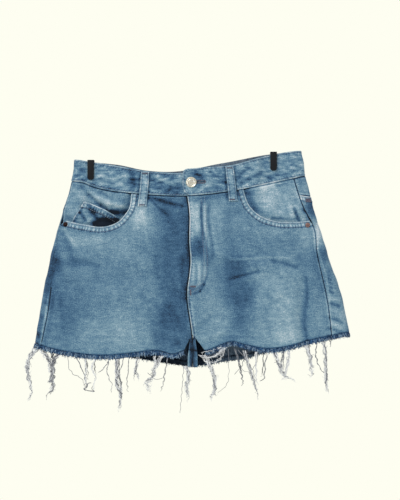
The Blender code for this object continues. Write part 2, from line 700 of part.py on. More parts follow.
def add_front_pockets():
    """The facings seen in the pocket mouths, the bags below them and the coin pocket."""
    gap = SEAM_GAP / 2
    for side, facing, bag in (("right", FACING_RIGHT, BAG_RIGHT), ("left", FACING_LEFT, BAG_LEFT)):
        seam, lift = side_seam(side, 1), pocket_depth(side)
        lower = curve(facing)
        waist = along_round(BAND_BOTTOM, lower[0][0], crossing(BAND_BOTTOM, seam, -gap), -gap)
        outline = joined(
            waist,
            along_down(seam, waist[-1][1], lower[-1][1] + gap),
            [(s, z + gap) for s, z in lower[-2:0:-1]],
        )
        cloth(f"pocket_facing_{side}", outline, lift=lift)
        hung_from = [(s, z - BAG_GAP) for s, z in lower[-BAG_HANGS_FROM:]]
        outline = joined(hung_from, curve(bag)[::-1])
        cloth(f"pocket_bag_{side}", outline, -BAG_DEEPER, -BAG_DEEPER - COTTON, lift, "cotton")
    behind = pocket_depth("right")

    def on_facing(share, z):
        mouth = past(COIN_POCKET[1:5], across_of(share, z), z)
        return behind(share, z) + COIN_MOUTH_STAND * ease(1 - mouth / COIN_MOUTH_REACH)

    outline = [(float(front(x * MM, z * MM)), z * MM) for x, z in COIN_POCKET]
    cloth("coin_pocket", outline, DENIM + PATCH_GAP, PATCH_GAP, on_facing)


def add_back_pockets():
    """A plain patch pocket on each back."""
    for side in ("right", "left"):
        corners = [(x * MM, z * MM) for x, z in BACK_POCKET]
        if side == "left":
            corners = [(BACK_POCKET_SHIFT - x, z) for x, z in corners]
        middle = sum(x for x, _ in corners) / len(corners)

        def stand(share, z, middle=middle):
            away = np.abs(across_of(share, z) - middle) / BACK_POCKET_REACH
            rise = ease((z - BACK_POCKET_LEVEL) / BACK_POCKET_RISE)
            return BACK_POCKET_STAND * ease(1 - away) * rise

        outline = [(float(back(x, z)), z) for x, z in corners]
        cloth(f"back_pocket_{side}", outline, DENIM + PATCH_GAP, PATCH_GAP, stand)


def add_belt_loops():
    """Five loops, each sewn at the waistband's top and just below it, standing off between."""
    for loop in LOOPS:
        top = float(round_line(BAND_TOP, loop.share)) - LOOP_BELOW_TOP
        foot = top - LOOP_LENGTH
        seam = float(round_line(BAND_BOTTOM, loop.share))
        width = float(body("right", top) - body("left", top))
        half = LOOP_WIDTH / 2 / width
        low = loop.share + loop.lean * MM / width
        outline = [(loop.share - half, top), (loop.share + half, top), (low + half, foot),
                   (low - half, foot)]

        def stand(share, z, seam=seam, top=top):
            on_band = ease((z - seam + LOOP_STEP) / LOOP_STEP)
            bowed = np.sin(np.pi * np.clip((z - seam) / (top - seam), 0, 1))
            return on_band * (BAND_OUTER + band_lift(share, z)) + LOOP_STAND * bowed

        rows = [foot + (top - foot) * k / LOOP_ROWS for k in range(1, LOOP_ROWS)]
        bm = cut(outline, SHARES, rows)
        hang(bm, DENIM + PATCH_GAP, PATCH_GAP, stand)
        add_object(loop.name, bm, "denim")


def strip_ends(side, face):
    """The shares where one leg's frayed strip begins and ends, in front or behind."""
    if face == "front":
        seam = crossing(HEM, side_seam(side, 1))
        return tuple(sorted((seam, NOTCH_SHARE[side])))
    middle = crossing(HEM, back_seam(0))
    if side == "left":
        return crossing(HEM, side_seam("left", -1)), middle - BACK_STRIP_GAP
    return middle + BACK_STRIP_GAP, crossing(HEM, from_behind(side_seam("right", -1)))


def hem_height(share, row):
    """The frayed strip's rows run from the raw edge, 0, to where the cloth is whole, 1."""
    return round_line(HEM, share) + FRAY * row


def strand_plan(start, end, face, width):
    """The threads of one frayed strip in order, placed by share and sized in metres."""
    place = front if face == "front" else back
    plan = []
    for strand in LONG_STRANDS[face]:
        rough = float(place(strand.across * MM, HEM_LEVEL))
        share = float(place(strand.across * MM, round_line(HEM, rough)))
        if start < share < end:
            plan.append(Strand(share, *(value * MM for value in strand[1:])))
    count = int((end - start) * width / SHORT_STRAND_SPACING[face])
    for k in range(count):
        share = start + (end - start) * (k + 0.5) / count
        wave = math.sin(5.3 * k + 1.7) + 0.6 * math.sin(11.9 * k)
        length = SHORT_STRAND_LENGTH + SHORT_STRAND_SPREAD * wave
        room = STRAND_CLEAR + SHORT_STRAND_WIDTH / 2
        if all(abs(share - other.across) * width > room + other.width / 2 for other in plan):
            drift = SHORT_STRAND_DRIFT * math.sin(7.1 * k)
            plan.append(Strand(share, SHORT_STRAND_WIDTH, length, drift))
    return sorted(plan)


def add_frayed_hems():
    """Narrow strips along the raw hem, with the threads that hang from them."""
    width = float(body("right", HEM_LEVEL) - body("left", HEM_LEVEL))
    for side in ("right", "left"):
        for face in ("front", "back"):
            start, end = strip_ends(side, face)
            plan = strand_plan(start, end, face, width)
            edges = [s.across + hand * s.width / 2 / width for s in plan for hand in (-1, 1)]
            ruled = [s for s in SHARES if all(abs(s - e) * width > POINT_CLEAR for e in edges)]
            bm = cut([(start, 0), (end, 0), (end, 1), (start, 1)], sorted(ruled + edges), ())
            roots = []
            for strand in plan:
                middle = strand.across * GIRTH
                roots += [
                    (found, strand) for found in bm.faces
                    if found.calc_center_median().z < 1e-6
                    and abs(found.calc_center_median().x - middle) < strand.width / 4
                ]
            hang(bm, FRAY_OUTER, FRAY_INNER, height=hem_height)
            for root, strand in roots:
                grow_strand(bm, root, strand)
            add_object(f"frayed_hem_{face}_{side}", bm, "frayed")


def grow_strand(bm, root, strand):
    """A tapering thread drawn down from one small face of its strip."""
    start = root.calc_center_median()
    base = [v.co - start for v in root.verts]
    tip = root
    for step in range(1, STRAND_STEPS + 1):
        t = step / STRAND_STEPS
        tip = bmesh.ops.extrude_discrete_faces(bm, faces=[tip])["faces"][0]
        scale = 1 + (STRAND_TIP - 1) * t
        middle = start.copy()
        middle.x += strand.drift * t**1.5
        middle.z -= strand.length * t
        for vert, offset in zip(tip.verts, base, strict=True):
            vert.co = middle + offset * scale


def seat(share, out, z):
    """A place on the cloth and the turn about +Z that faces outwards there."""
    place = drape(share, out, z)
    outside = drape(share, out + 1 * MM, z)
    facing = math.atan2(outside[0] - place[0], place[1] - outside[1])
    return place, facing


def add_turned(turned, profile, out, finish, segments):
    """A round piece seated on the cloth, spun from its half outline of (radius, out) points."""
    place, facing = seat(front(turned.across, turned.height), out, turned.height)
    bm = bmesh.new()
    verts = [bm.verts.new((r, 0, out)) for r, out in profile]
    edges = [bm.edges.new(pair) for pair in zip(verts[:-1], verts[1:], strict=True)]
    bmesh.ops.spin(bm, geom=verts + edges, cent=(0, 0, 0), axis=(0, 0, 1),
                   angle=math.tau, steps=segments, use_merge=True)
    bmesh.ops.remove_doubles(bm, verts=bm.verts[:], dist=1e-6)
    bmesh.ops.rotate(bm, verts=bm.verts[:], matrix=turned_to(facing))
    bmesh.ops.translate(bm, verts=bm.verts[:], vec=place)
    add_object(turned.name, bm, finish)


def add_hardware():
    """The shank button through the tab's eye, and the two rivets."""
    post = TAB_LIFT + BAND_TUCK - SEAM_GAP
    post_radius = BUTTON_PROFILE[0][0] * BUTTON_RADIUS
    profile = [(0, -post), (post_radius, -post)]
    profile += [(share * BUTTON_RADIUS, out * MM) for share, out in BUTTON_PROFILE]
    add_turned(BUTTON, profile, BAND_OUTER + TAB_LIFT, "button", 28)
    profile = [(share * RIVET_RADIUS, out * MM) for share, out in RIVET_PROFILE]
    for rivet in RIVETS:
        add_turned(rivet, profile, SEAM_GAP, "rivet", 16)


def add_clips():
    """Plain hanger clips: a finger on each face of the waistband and a bridge over its top."""
    inside = CLIP_HALF_DEPTH + BAND_OUTER + SEAM_GAP
    outside = inside + CLIP_FINGER
    for clip in CLIPS:
        foot, top = clip.bottom, clip.top
        under = top - CLIP_BRIDGE
        staple = [(-outside, foot), (-inside, foot), (-inside, under), (inside, under),
                  (inside, foot), (outside, foot), (outside, top), (-outside, top)]
        low = clip.across - CLIP_WIDTH / 2
        bm = bmesh.new()
        face = bm.faces.new([bm.verts.new((low, y, z)) for y, z in staple])
        grown = bmesh.ops.extrude_face_region(bm, geom=[face], use_keep_orig=True)["geom"]
        moved = [v for v in grown if isinstance(v, bmesh.types.BMVert)]
        bmesh.ops.translate(bm, verts=moved, vec=(CLIP_WIDTH, 0, 0))
        feet = [e for e in bm.edges if all(v.co.z < foot + 1e-6 for v in e.verts)
                and abs(e.verts[0].co.x - e.verts[1].co.x) < 1e-6]
        bmesh.ops.bevel(bm, geom=feet, offset=CLIP_ROUNDING, affect="EDGES", segments=4,
                        profile=0.5, material=-1)
        add_object(clip.name, bm, "clip")


def main():
    for found in list(bpy.data.objects):
        bpy.data.objects.remove(found, do_unlink=True)
    add_fronts()
    add_backs()
    add_waistband()
    add_front_pockets()
    add_back_pockets()
    add_belt_loops()
    add_frayed_hems()
    add_hardware()
    add_clips()


main()
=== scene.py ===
"""Cut-off denim shorts that hang by the waistband from two hanger clips.

Every cloth piece is cut flat, ruled into a fine grid, given its thickness and draped on the
hanging body. A place on the cloth is a share, 0 to 1 across the front from the left fold to the
right one and 1 to 2 back again behind, and a height. Tables are in millimetres, everything else
in metres. +Z is up, the front faces -Y and the wearer's left side is at +X.
"""

import math
from collections import namedtuple
from dataclasses import dataclass

import bmesh
import bpy
import numpy as np
from bpy.props import FloatProperty, FloatVectorProperty, PointerProperty
from mathutils import Matrix, Vector


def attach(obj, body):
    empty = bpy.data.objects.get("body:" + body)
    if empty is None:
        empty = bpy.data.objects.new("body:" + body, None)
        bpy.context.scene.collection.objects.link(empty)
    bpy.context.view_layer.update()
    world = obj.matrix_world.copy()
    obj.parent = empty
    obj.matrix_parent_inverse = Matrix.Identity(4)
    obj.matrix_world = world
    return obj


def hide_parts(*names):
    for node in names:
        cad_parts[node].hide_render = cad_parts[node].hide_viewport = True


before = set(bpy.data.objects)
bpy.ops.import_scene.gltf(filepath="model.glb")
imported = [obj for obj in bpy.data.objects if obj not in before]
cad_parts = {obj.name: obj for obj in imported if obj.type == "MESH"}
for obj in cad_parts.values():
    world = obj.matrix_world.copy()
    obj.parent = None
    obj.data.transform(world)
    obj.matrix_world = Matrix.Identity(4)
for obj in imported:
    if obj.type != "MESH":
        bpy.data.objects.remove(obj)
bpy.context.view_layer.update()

bl_info = {
    "name": "Cut-off denim shorts",
    "version": (1, 0, 0),
    "blender": (4, 5, 0),
    "location": "3D View > Sidebar > Shorts",
    "description": "Dresses the packed denim shorts: cloth, sewing, frayed hem, button and clips",
    "category": "Object",
}

MM = 0.001
# Tables of the two sides are given by side, and the wearer's right comes first
SIDES = ("right", "left")
TINY = 1e-6
NEARBY = 1e-4  # a step along the body's form, to find which way it faces
HALVINGS = 26
CLOSEST = 0.8 * MM  # outline points nearer than this are one

# ---------------------------------------------------------------- the hanging form

DENIM = 1.4 * MM
COTTON = 1.0 * MM
SEAM_GAP = 0.3 * MM
FOLD_POWER = 3.0  # how square the body's cross-section is: 2 is an ellipse

# Left and right folds, depth from front to back and how far behind the clips its middle lies
Level = namedtuple("Level", "height left right depth middle")
BODY = [Level(*row) for row in (
    (12, -171, 191, 22, 0),
    (-40, -179, 202, 24, 0),
    (-97, -195, 217, 34, 2),
    (-155, -211, 235, 42, 4),
    (-227, -226, 259, 47, 5),
    (-303, -239, 275, 50, 5),
    (-350, -249, 285, 52, 5),
)]

# Lines round the body, as (share, height)
BAND_TOP = (
    (0.46, -21), (0.49, -21), (0.55, -19.5), (0.69, -15), (0.80, -4.4), (0.88, 2.4), (1, 8),
    (1.12, 3.4), (1.19, 0), (1.31, -8.5), (1.40, -14.5), (1.47, -20), (1.57, -25), (1.68, -23.3),
    (1.81, -14), (1.93, -9.6), (2, -6), (2.07, -9.6), (2.19, -16.6), (2.31, -24.5), (2.40, -27.5),
    (2.6, -28.5),
)
BAND_BOTTOM = (
    (0, -41), (0.05, -43), (0.10, -50), (0.16, -55.5), (0.24, -59.5), (0.31, -62), (0.49, -64.5),
    (0.69, -56), (0.85, -44), (0.95, -36), (1, -32), (1.12, -36), (1.31, -47), (1.52, -57),
    (1.66, -60), (1.81, -53), (1.93, -46), (2, -41),
)
YOKE_BOTTOM = (
    (0.94, -63), (1, -66), (1.15, -77), (1.30, -97), (1.46, -119), (1.47, -119), (1.65, -106),
    (1.82, -90), (2, -78), (2.02, -77),
)
HEM = (
    (0, -308), (0.026, -312), (0.10, -320.5), (0.17, -325.5), (0.24, -326.5), (0.31, -323),
    (0.385, -319.5), (0.445, -325), (0.475, -319), (0.54, -320), (0.58, -312), (0.62, -305),
    (0.665, -310), (0.735, -316), (0.805, -311), (0.87, -302.5), (0.94, -295), (1, -290.5),
    (1.06, -294), (1.15, -301), (1.24, -311), (1.275, -319), (1.31, -325.5), (1.345, -329.5),
    (1.375, -331), (1.41, -334), (1.45, -338), (1.50, -340), (1.56, -337.5), (1.635, -331.5),
    (1.70, -326), (1.77, -318.5), (1.90, -311), (2, -308),
)
HEM_LEVEL = -318 * MM
FRAY = 5 * MM
FRAY_LAP = 1.2 * MM
FRAY_TUCK = 1.4 * MM
STRIP_GAP = 0.002  # the share that a strip stops short of the seat seam
# The ragged edge's waves: height in millimetres, turns in radians to the millimetre, and lag
RAGGED = ((0.5, 2.1, 0), (0.4, 5.3, 1), (0.5, 0.7, 2))
RAGGED_DROP = 1.2

# Seams that run down: (height, share) at the sides, (height, place across) in the middle
SIDE_SEAM = {
    "right": ((-38, 0.001), (-97, 0.002), (-160, 0.013), (-233, 0.0255), (-320, 0.0195)),
    "left": ((-30, 0.947), (-87, 0.963), (-108, 0.978), (-160, 0.962), (-300, 0.940)),
}
CROTCH_ACROSS = 17.5
FLY_EDGE = (
    (-60, 8), (-91, 12), (-141, 12), (-171, 14), (-193, 12), (-216, 9), (-232, 9), (-262, 13),
    (-293, CROTCH_ACROSS), (-345, CROTCH_ACROSS),
)
BACK_SEAM = ((-50, 10), (-120, 12), (-250, 16), (-293, CROTCH_ACROSS), (-345, CROTCH_ACROSS))

# Crotch
BRIDGE_HALF_WIDTH = 7.6 * MM
BRIDGE_BOTTOM = -342 * MM
BRIDGE_WAIST = -324 * MM
BRIDGE_HALF_DEPTH = 1.6 * MM
NOTCH_TOP = -294 * MM
NOTCH_HALF_WIDTH = 4 * MM
NOTCH_SHARE = {"right": 0.472, "left": 0.538}
PINCH_START_FRONT = -264 * MM
PINCH_START_BACK = -280 * MM
PINCH_REACH = 62 * MM

# Fly and waistband overlap
FLY_WIDTH = 27 * MM
FLY_BOTTOM = -228 * MM
FLY_UNDERLAP = 12 * MM
FLY_STEP = 6 * MM
FLY_RUN_OUT = 18 * MM
FLY_LIFT = 1.0 * MM
FLY_TUCK_REACH = 8 * MM
FLY_TUCK = DENIM + 2.5 * SEAM_GAP - FLY_LIFT
FLY_TOP = -66 * MM
FLY_TURN = -186 * MM  # where the fly's stitching begins to curve towards the seam
FLY_LINES = (22 * MM, 27 * MM)
BAND_OUTER = 0.8 * MM
BAND_INNER = -1.6 * MM
BAND_MIDDLE = -40 * MM
TAB_END = 1 * MM
TAB_CORNER = 7 * MM
TAB_SHAPE = ((1.6, 0), (0.5, 0.12), (0, 0.34), (0, 0.8), (0.35, 0.94), (1, 1))
TAB_RUN_OUT = 44 * MM
TAB_LIFT = 1.6 * MM
BAND_UNDERLAP_END = 38 * MM
BAND_TUCK = BAND_OUTER - BAND_INNER + SEAM_GAP - TAB_LIFT
BAND_TUCK_START = -26 * MM
BAND_TUCK_REACH = 24 * MM

# Front pockets, as (place across, height)
MOUTH = {
    "right": (
        (-81, -58), (-84, -81), (-91, -94), (-105, -108), (-129, -115), (-159, -111),
        (-190, -104.5),
    ),
    "left": (
        (99, -54), (106, -76), (118, -91), (134, -101), (159, -107), (187, -107), (208, -104.5),
    ),
}
MOUTH_END = -112 * MM
SEAM_SHOWS = {"right": -213 * MM, "left": MOUTH_END}  # up to here a front's side edge is dark
SIDE_RUN_FOOT = -300 * MM
FACING_DEEP = {"right": 3.8 * MM, "left": 2.2 * MM}
FACING_TONE = {"right": 0.22, "left": 0.42}
BAG_DEEPER = 1.0 * MM
BAG_GAP = 0.7 * MM
FACING_EASE = 14 * MM
FACING = {
    "right": ((-64, -60), (-68, -92), (-86, -122), (-120, -135), (-160, -132), (-196, -126)),
    "left": ((84, -56), (90, -86), (104, -108), (134, -122), (170, -127), (214, -125)),
}
BAG = {
    "right": ((-66, -150), (-72, -196), (-92, -226), (-128, -236), (-166, -228), (-194, -206)),
    "left": ((88, -140), (92, -190), (112, -220), (146, -231), (184, -224), (210, -204)),
}
BAG_HANGS_FROM = 3.3  # of the facing's outline points, counted from its side end
Gape = namedtuple("Gape", "across height reach_across reach_down depth")
GAPES = {
    "right": (Gape(-118, -108, 40, 34, 8.0), Gape(-98, -92, 15, 8, 4.0),
              Gape(-112, -104, 22, 7, 3.0)),
    "left": (Gape(150, -128, 40, 34, 2.0),),
}
COIN_POCKET = ((-189, -123), (-159, -75), (-150, -76.5), (-125, -86.5), (-102, -100), (-103, -127),
               (-140, -131))
COIN_MOUTH_STAND = 1.6 * MM
COIN_MOUTH_REACH = 16 * MM

# Back pockets, on the wearer's right side; the left one is mirrored about the back seam
BACK_POCKET = ((-172, -127), (-30, -127), (-36, -252), (-99, -276), (-164, -252))
BACK_POCKET_SHIFT = 36 * MM
BACK_POCKET_STAND = 1.8 * MM
BACK_POCKET_REACH = 62 * MM
BACK_POCKET_LEVEL = -262 * MM
BACK_POCKET_RISE = 90 * MM
PATCH_GAP = 0.8 * MM

# Belt loops
LOOP_WIDTH = 13 * MM
LOOP_LENGTH = 56 * MM
LOOP_STAND = 1.2 * MM
LOOP_BELOW_TOP = 1.5 * MM
LOOP_STEP = 8 * MM
Loop = namedtuple("Loop", "name share lean")
LOOPS = [Loop(*row) for row in (
    ("belt_loop_front_right", 2.312, 0.5),
    ("belt_loop_front_left", 0.676, 1.5),
    ("belt_loop_back_left", 1.22, 1),
    ("belt_loop_back_middle", 1.49, 0),
    ("belt_loop_back_right", 1.77, -1),
)]

# Large soft folds, as the solids have them: ends, width and how far out they stand
FRONT_FOLDS = (
    (192, -205, 200, -300, 11, -3.5), (160, -225, 166, -320, 26, 4.0),
    (70, -162, 190, -196, 11, 2.2), (66, -185, 60, -300, 22, -4.0),
    (104, -260, 106, -320, 22, 3.0), (-30, -170, -26, -318, 24, -4.0),
    (-120, -235, -122, -322, 42, 4.0), (-206, -250, -214, -306, 14, 2.5),
)
BACK_FOLDS = (
    (-120, -160, -124, -270, 52, 5.0), (140, -160, 146, -270, 52, 5.0),
    (14, -130, 16, -250, 20, -3.0), (-60, -270, -66, -325, 20, -4.0),
    (96, -270, 104, -322, 20, -4.0), (190, -180, 210, -290, 16, -3.0),
    (-176, -180, -186, -300, 16, -3.0),
)

# Smaller creases on them: ends, width and how far out
FRONT_CREASES = (
    # wearer's right leg
    (-190, -122, -181, -159, 5, -1.2), (-181, -159, -172, -178, 6, -0.9),
    (-206, -164, -183, -212, 4, -1.2), (-178, -172, -136, -181, 4, -0.9),
    (-198, -156, -149, -165, 6, 0.7), (-52, -70, -24, -94, 3, -1.0), (-49, -70, 3, -79, 3, -1.1),
    (-48, -76, -6, -86, 4, 0.8), (-100, -152, -49, -173, 8, 0.7), (-136, -201, -65, -193, 9, -0.6),
    (-32, -233, -52, -301, 9, 0.8), (-120, -233, -126, -311, 10, -0.6),
    (6, -282, -29, -240, 6, -1.1), (3, -292, -36, -282, 6, 0.8), (6, -233, -32, -214, 6, -0.6),
    (-198, -128, -117, -138, 5, 0.5), (-76, -107, -52, -79, 6, 0.8),
    # fly and wearer's left leg
    (34, -76, 34, -138, 2.4, -0.6), (40, -79, 40, -149, 3, 0.6), (46, -84, 47, -165, 3, -0.5),
    (76, -164, 146, -164, 3, 0.7), (146, -165, 178, -168, 3, 0.6), (76, -168, 146, -168, 3, -0.6),
    (146, -173, 186, -181, 3, -0.9), (76, -196, 120, -188, 3, -0.9), (86, -203, 130, -195, 5, 0.7),
    (196, -198, 199, -308, 6, -1.2), (207, -209, 211, -306, 8, 0.8),
    (238, -240, 251, -246, 3, -1.5), (240, -264, 259, -272, 3, -1.5),
    (241, -282, 261, -287, 3, -1.2), (237, -230, 253, -233, 3, 0.7), (18, -285, 42, -259, 5, -1.0),
    (23, -298, 65, -285, 6, 0.8), (94, -233, 81, -306, 9, -0.9), (130, -233, 123, -308, 10, 0.8),
    (167, -217, 162, -305, 12, -0.5), (110, -117, 191, -123, 6, 0.5),
    (104, -130, 185, -141, 7, -0.4),
    # waistband
    (-146, -45, -104, -58, 4, -0.8), (-133, -29, -71, -36, 4, 0.5), (-84, -24, -73, -50, 4, -0.8),
    (-49, -42, -5, -50, 3, -0.9), (-39, -37, -15, -44, 4, 0.7), (20, -24, 29, -32, 3, -0.8),
    (45, -26, 71, -49, 3, -0.7), (87, -42, 110, -23, 3, -0.8), (94, -49, 130, -28, 4, -0.8),
    (130, -49, 152, -40, 4, 0.6), (143, -34, 191, -19, 4, -0.7), (157, -45, 196, -32, 3, -0.6),
    (-173, -16, -156, -26, 3, -0.6), (-172, -32, -156, -40, 3, -0.6),
    (-128, -16, -87, -21, 4, -0.5),
)
BACK_CREASES = (
    # seat and legs
    (20, -262, 60, -296, 6, -1.3), (22, -276, 84, -306, 7, 0.9), (12, -262, -34, -298, 6, -1.3),
    (12, -278, -56, -308, 7, 0.9), (30, -236, 88, -262, 7, -0.9), (4, -236, -58, -264, 7, -0.9),
    (58, -286, 150, -300, 7, 0.8), (-40, -288, -140, -302, 7, 0.8),
    (160, -282, 228, -268, 6, -1.1), (-150, -286, -214, -270, 6, -1.1),
    (186, -130, 206, -190, 6, -1.0), (-186, -138, -196, -200, 6, -1.0),
    (60, -304, 66, -326, 6, -0.9), (122, -292, 118, -318, 8, 0.8), (-88, -300, -92, -322, 7, -0.8),
    (-150, -296, -156, -314, 8, 0.8), (206, -210, 246, -226, 5, -0.9),
    (-200, -214, -226, -232, 5, -0.9), (40, -150, 30, -226, 7, 0.8), (-10, -150, -4, -222, 7, 0.7),
    (60, -176, 130, -190, 7, -0.5), (-60, -180, -120, -196, 7, -0.5),
    # yokes and waistband
    (60, -70, 120, -62, 5, -0.7), (-60, -84, -120, -72, 5, -0.7), (150, -56, 190, -50, 4, 0.6),
    (-30, -40, 4, -52, 4, -0.8), (30, -50, 62, -36, 4, -0.8), (84, -22, 116, -36, 3, -0.7),
    (132, -38, 176, -20, 4, -0.8), (-60, -30, -96, -44, 4, -0.7), (-110, -48, -150, -26, 4, -0.8),
    (-156, -20, -172, -34, 3, -0.6), (60, -24, 72, -40, 3, 0.5),
)

# Where the wash has taken the colour out, or left it: place, reach and how much
FRONT_FADES = (
    (-19, -96, 26, 45, -0.42), (-15, -177, 28, 57, -0.42), (-10, -266, 26, 42, -0.42),
    (-72, -92, 14, 23, 0.42), (-113, -143, 52, 16, 0.16), (-146, -136, 36, 12, 0.16),
    (-211, -174, 9, 26, -0.42), (-200, -168, 7, 9, -0.25), (-214, -220, 8, 34, -0.5),
    (-232, -288, 9, 36, -0.3), (-190, -266, 18, 46, -0.28), (-150, -290, 46, 27, 0.16),
    (-92, -282, 40, 39, 0.28), (-104, -209, 49, 49, 0.05), (-162, -227, 24, 42, -0.12),
    (-173, -172, 19, 11, -0.12), (21, -94, 13, 36, 0.4), (24, -150, 13, 16, -0.36),
    (26, -191, 13, 23, 0.24), (28, -71, 10, 8, -0.25), (55, -112, 16, 40, 0.3),
    (81, -136, 19, 49, -0.1), (83, -180, 18, 24, -0.46), (91, -268, 14, 16, -0.2),
    (94, -220, 26, 26, -0.45), (105, -253, 16, 29, -0.15), (94, -107, 13, 16, 0.15),
    (156, -206, 39, 29, 0.24), (168, -262, 27, 42, 0.4), (167, -292, 28, 14, 0.35),
    (126, -276, 29, 30, 0.08), (-65, -112, 34, 22, 0.24), (-36, -272, 16, 46, -0.34),
    (236, -262, 24, 28, 0.22), (205, -132, 16, 24, 0.2), (191, -14, 12, 12, 0.3),
    (2, -300, 18, 10, -0.3), (259, -282, 10, 34, 0.4), (-208, -181, 12, 50, -0.25),
    (45, -258, 24, 49, 0.25), (220, -233, 15, 65, -0.05), (245, -249, 11, 49, 0.1),
    (222, -122, 14, 22, 0.55), (229, -158, 11, 11, -0.4), (209, -88, 10, 13, -0.6),
    (203, -52, 7, 14, 0.3), (140, -129, 28, 14, 0.16), (-162, -19, 15, 15, 0.1),
    (-53, -47, 5, 6, 0.5), (65, -52, 26, 10, -0.05), (110, -36, 26, 13, 0.15),
    (172, -22, 20, 16, 0.14), (110, -24, 26, 12, 0.1), (22, -29, 8, 6, -0.45),
    (40, -30, 7, 5, 0.2), (-75, -39, 8, 15, -0.4),
)
# Streaks: ends, width and how much. Most follow the creases and paint the shade in their
# the last ones the light and shade of the side seam's puckers
# valleys and the highlight on their ridges; one paints the shadow under the waistband, and
FRONT_STREAKS = (
    # waistband
    (-84, -24, -73, -50, 5, -0.45), (-50, -32, -19, -34, 4, -0.35), (-49, -42, -5, -50, 4, -0.45),
    (-47, -52, -3, -57, 3, -0.3), (-39, -39, -15, -45, 5, 0.4), (-146, -45, -104, -58, 4, -0.3),
    (-133, -29, -71, -36, 4, 0.22), (-136, -40, -97, -47, 4, 0.2), (20, -24, 29, -32, 4, -0.5),
    (26, -55, 53, -39, 4, 0.3), (45, -26, 71, -49, 3, -0.3), (87, -42, 110, -23, 3, -0.45),
    (94, -49, 130, -28, 3, -0.35), (91, -55, 113, -45, 4, 0.3), (130, -49, 152, -40, 5, 0.3),
    (143, -34, 191, -19, 3, -0.3), (157, -45, 196, -32, 2.6, -0.25),
    (164, -15, 191, -3, 2.6, -0.25), (-173, -16, -156, -26, 4, -0.25),
    (-172, -32, -156, -40, 4, -0.25), (40, -67, 112, -58, 5, -0.3),
    # legs
    (3, -170, 3, -215, 4, -0.22), (34, -76, 34, -138, 2, -0.35), (39, -79, 39, -149, 2.4, 0.3),
    (45, -81, 47, -165, 2.4, -0.3), (23, -133, 39, -172, 8, -0.2),
    (76, -164, 177, -168, 1.8, 0.22), (76, -160, 150, -160, 2.5, -0.14),
    (76, -196, 120, -188, 2.4, -0.3), (146, -172, 186, -180, 3, -0.25),
    (199, -194, 202, -308, 2.6, -0.36), (206, -198, 209, -308, 6, -0.12),
    (190, -206, 193, -306, 4, 0.14), (-185, -165, -138, -181, 4, -0.15),
    (-52, -70, -24, -92, 2.6, -0.35), (-49, -68, 3, -77, 2.6, -0.45),
    (-199, -172, -194, -282, 5, -0.15), (185, -34, 196, -79, 6, 0.3),
    (-188, -117, -172, -143, 4, 0.35), (13, -79, 13, -282, 4, 0.2),
    (238, -240, 251, -246, 2.4, -0.4), (240, -264, 259, -272, 2.4, -0.4),
    (241, -282, 261, -287, 2.4, -0.35), (236, -232, 252, -236, 2, 0.2),
)
BACK_FADES = (
    (100, -200, 48, 46, 0.45), (-76, -200, 46, 46, 0.42), (18, -190, 15, 70, -0.25),
    (20, -272, 40, 22, 0.1), (196, -180, 16, 70, -0.4), (-194, -170, 14, 80, -0.42),
    (120, -296, 60, 16, 0.22), (-110, -296, 60, 16, 0.22), (70, -84, 46, 16, 0.12),
    (-60, -90, 46, 16, 0.1), (16, -84, 18, 22, -0.2), (150, -74, 24, 16, -0.15),
    (230, -250, 16, 50, -0.2), (-214, -250, 12, 60, -0.35), (60, -40, 30, 12, 0.12),
    (-70, -38, 30, 12, 0.1), (150, -24, 24, 12, -0.12), (-140, -34, 20, 12, -0.12),
)
# Streaks: ends, width and how much; most paint the shade in the creases' valleys
BACK_STREAKS = (
    (30, -50, 62, -36, 5, -0.35), (-30, -40, 4, -52, 5, -0.35), (84, -22, 116, -36, 4, -0.35),
    (132, -38, 176, -20, 5, -0.35), (-60, -30, -96, -44, 4, -0.3),
    (-110, -48, -150, -26, 5, -0.35), (60, -150, 140, -152, 4, 0.25),
    (-40, -150, -120, -152, 4, 0.25), (20, -262, 60, -296, 8, -0.25),
    (12, -262, -34, -298, 8, -0.25), (190, -150, 236, -286, 8, -0.25),
)
# The loose facing in the wearer's right pocket, the flat one in the left, and the coin pocket.
# Their folds lighten and darken the tone as the creases do
FACING_FOLDS = {
    "right": (
        (-163, -47.5, -151.5, -63, 2.6, -1.8), (-151.5, -63, -133, -79.5, 2.6, -2.4),
        (-133, -79.5, -121, -89.5, 2.6, -2.6), (-152, -53.5, -137.5, -66.5, 5, 1.3),
        (-137.5, -66.5, -120, -76, 5, 1.6), (-120, -76, -98, -79.5, 5, 1.8),
        (-157, -49, -132.5, -58, 2.6, -1.2), (-132.5, -58, -119, -67.5, 2.6, -1.2),
        (-173, -53, -161, -68.5, 5, 1.4), (-186, -66, -180, -100, 6, 0.8),
        (-171, -76, -182, -100, 3, -0.9), (-176, -44, -168, -58, 3, -0.8),
        (-148, -90, -134, -104, 5, -2.4), (-134, -104, -110, -108, 6, -2.8),
    ),
    "left": (
        (180.5, -82, 184, -93, 2.4, -1.4), (184, -93, 190, -104, 3, -2.2),
        (176, -80, 180, -100, 5, 0.8), (112, -58, 122, -84, 6, -0.7), (140, -50, 146, -94, 9, 0.7),
        (160, -52, 158, -98, 8, -0.4),
    ),
}
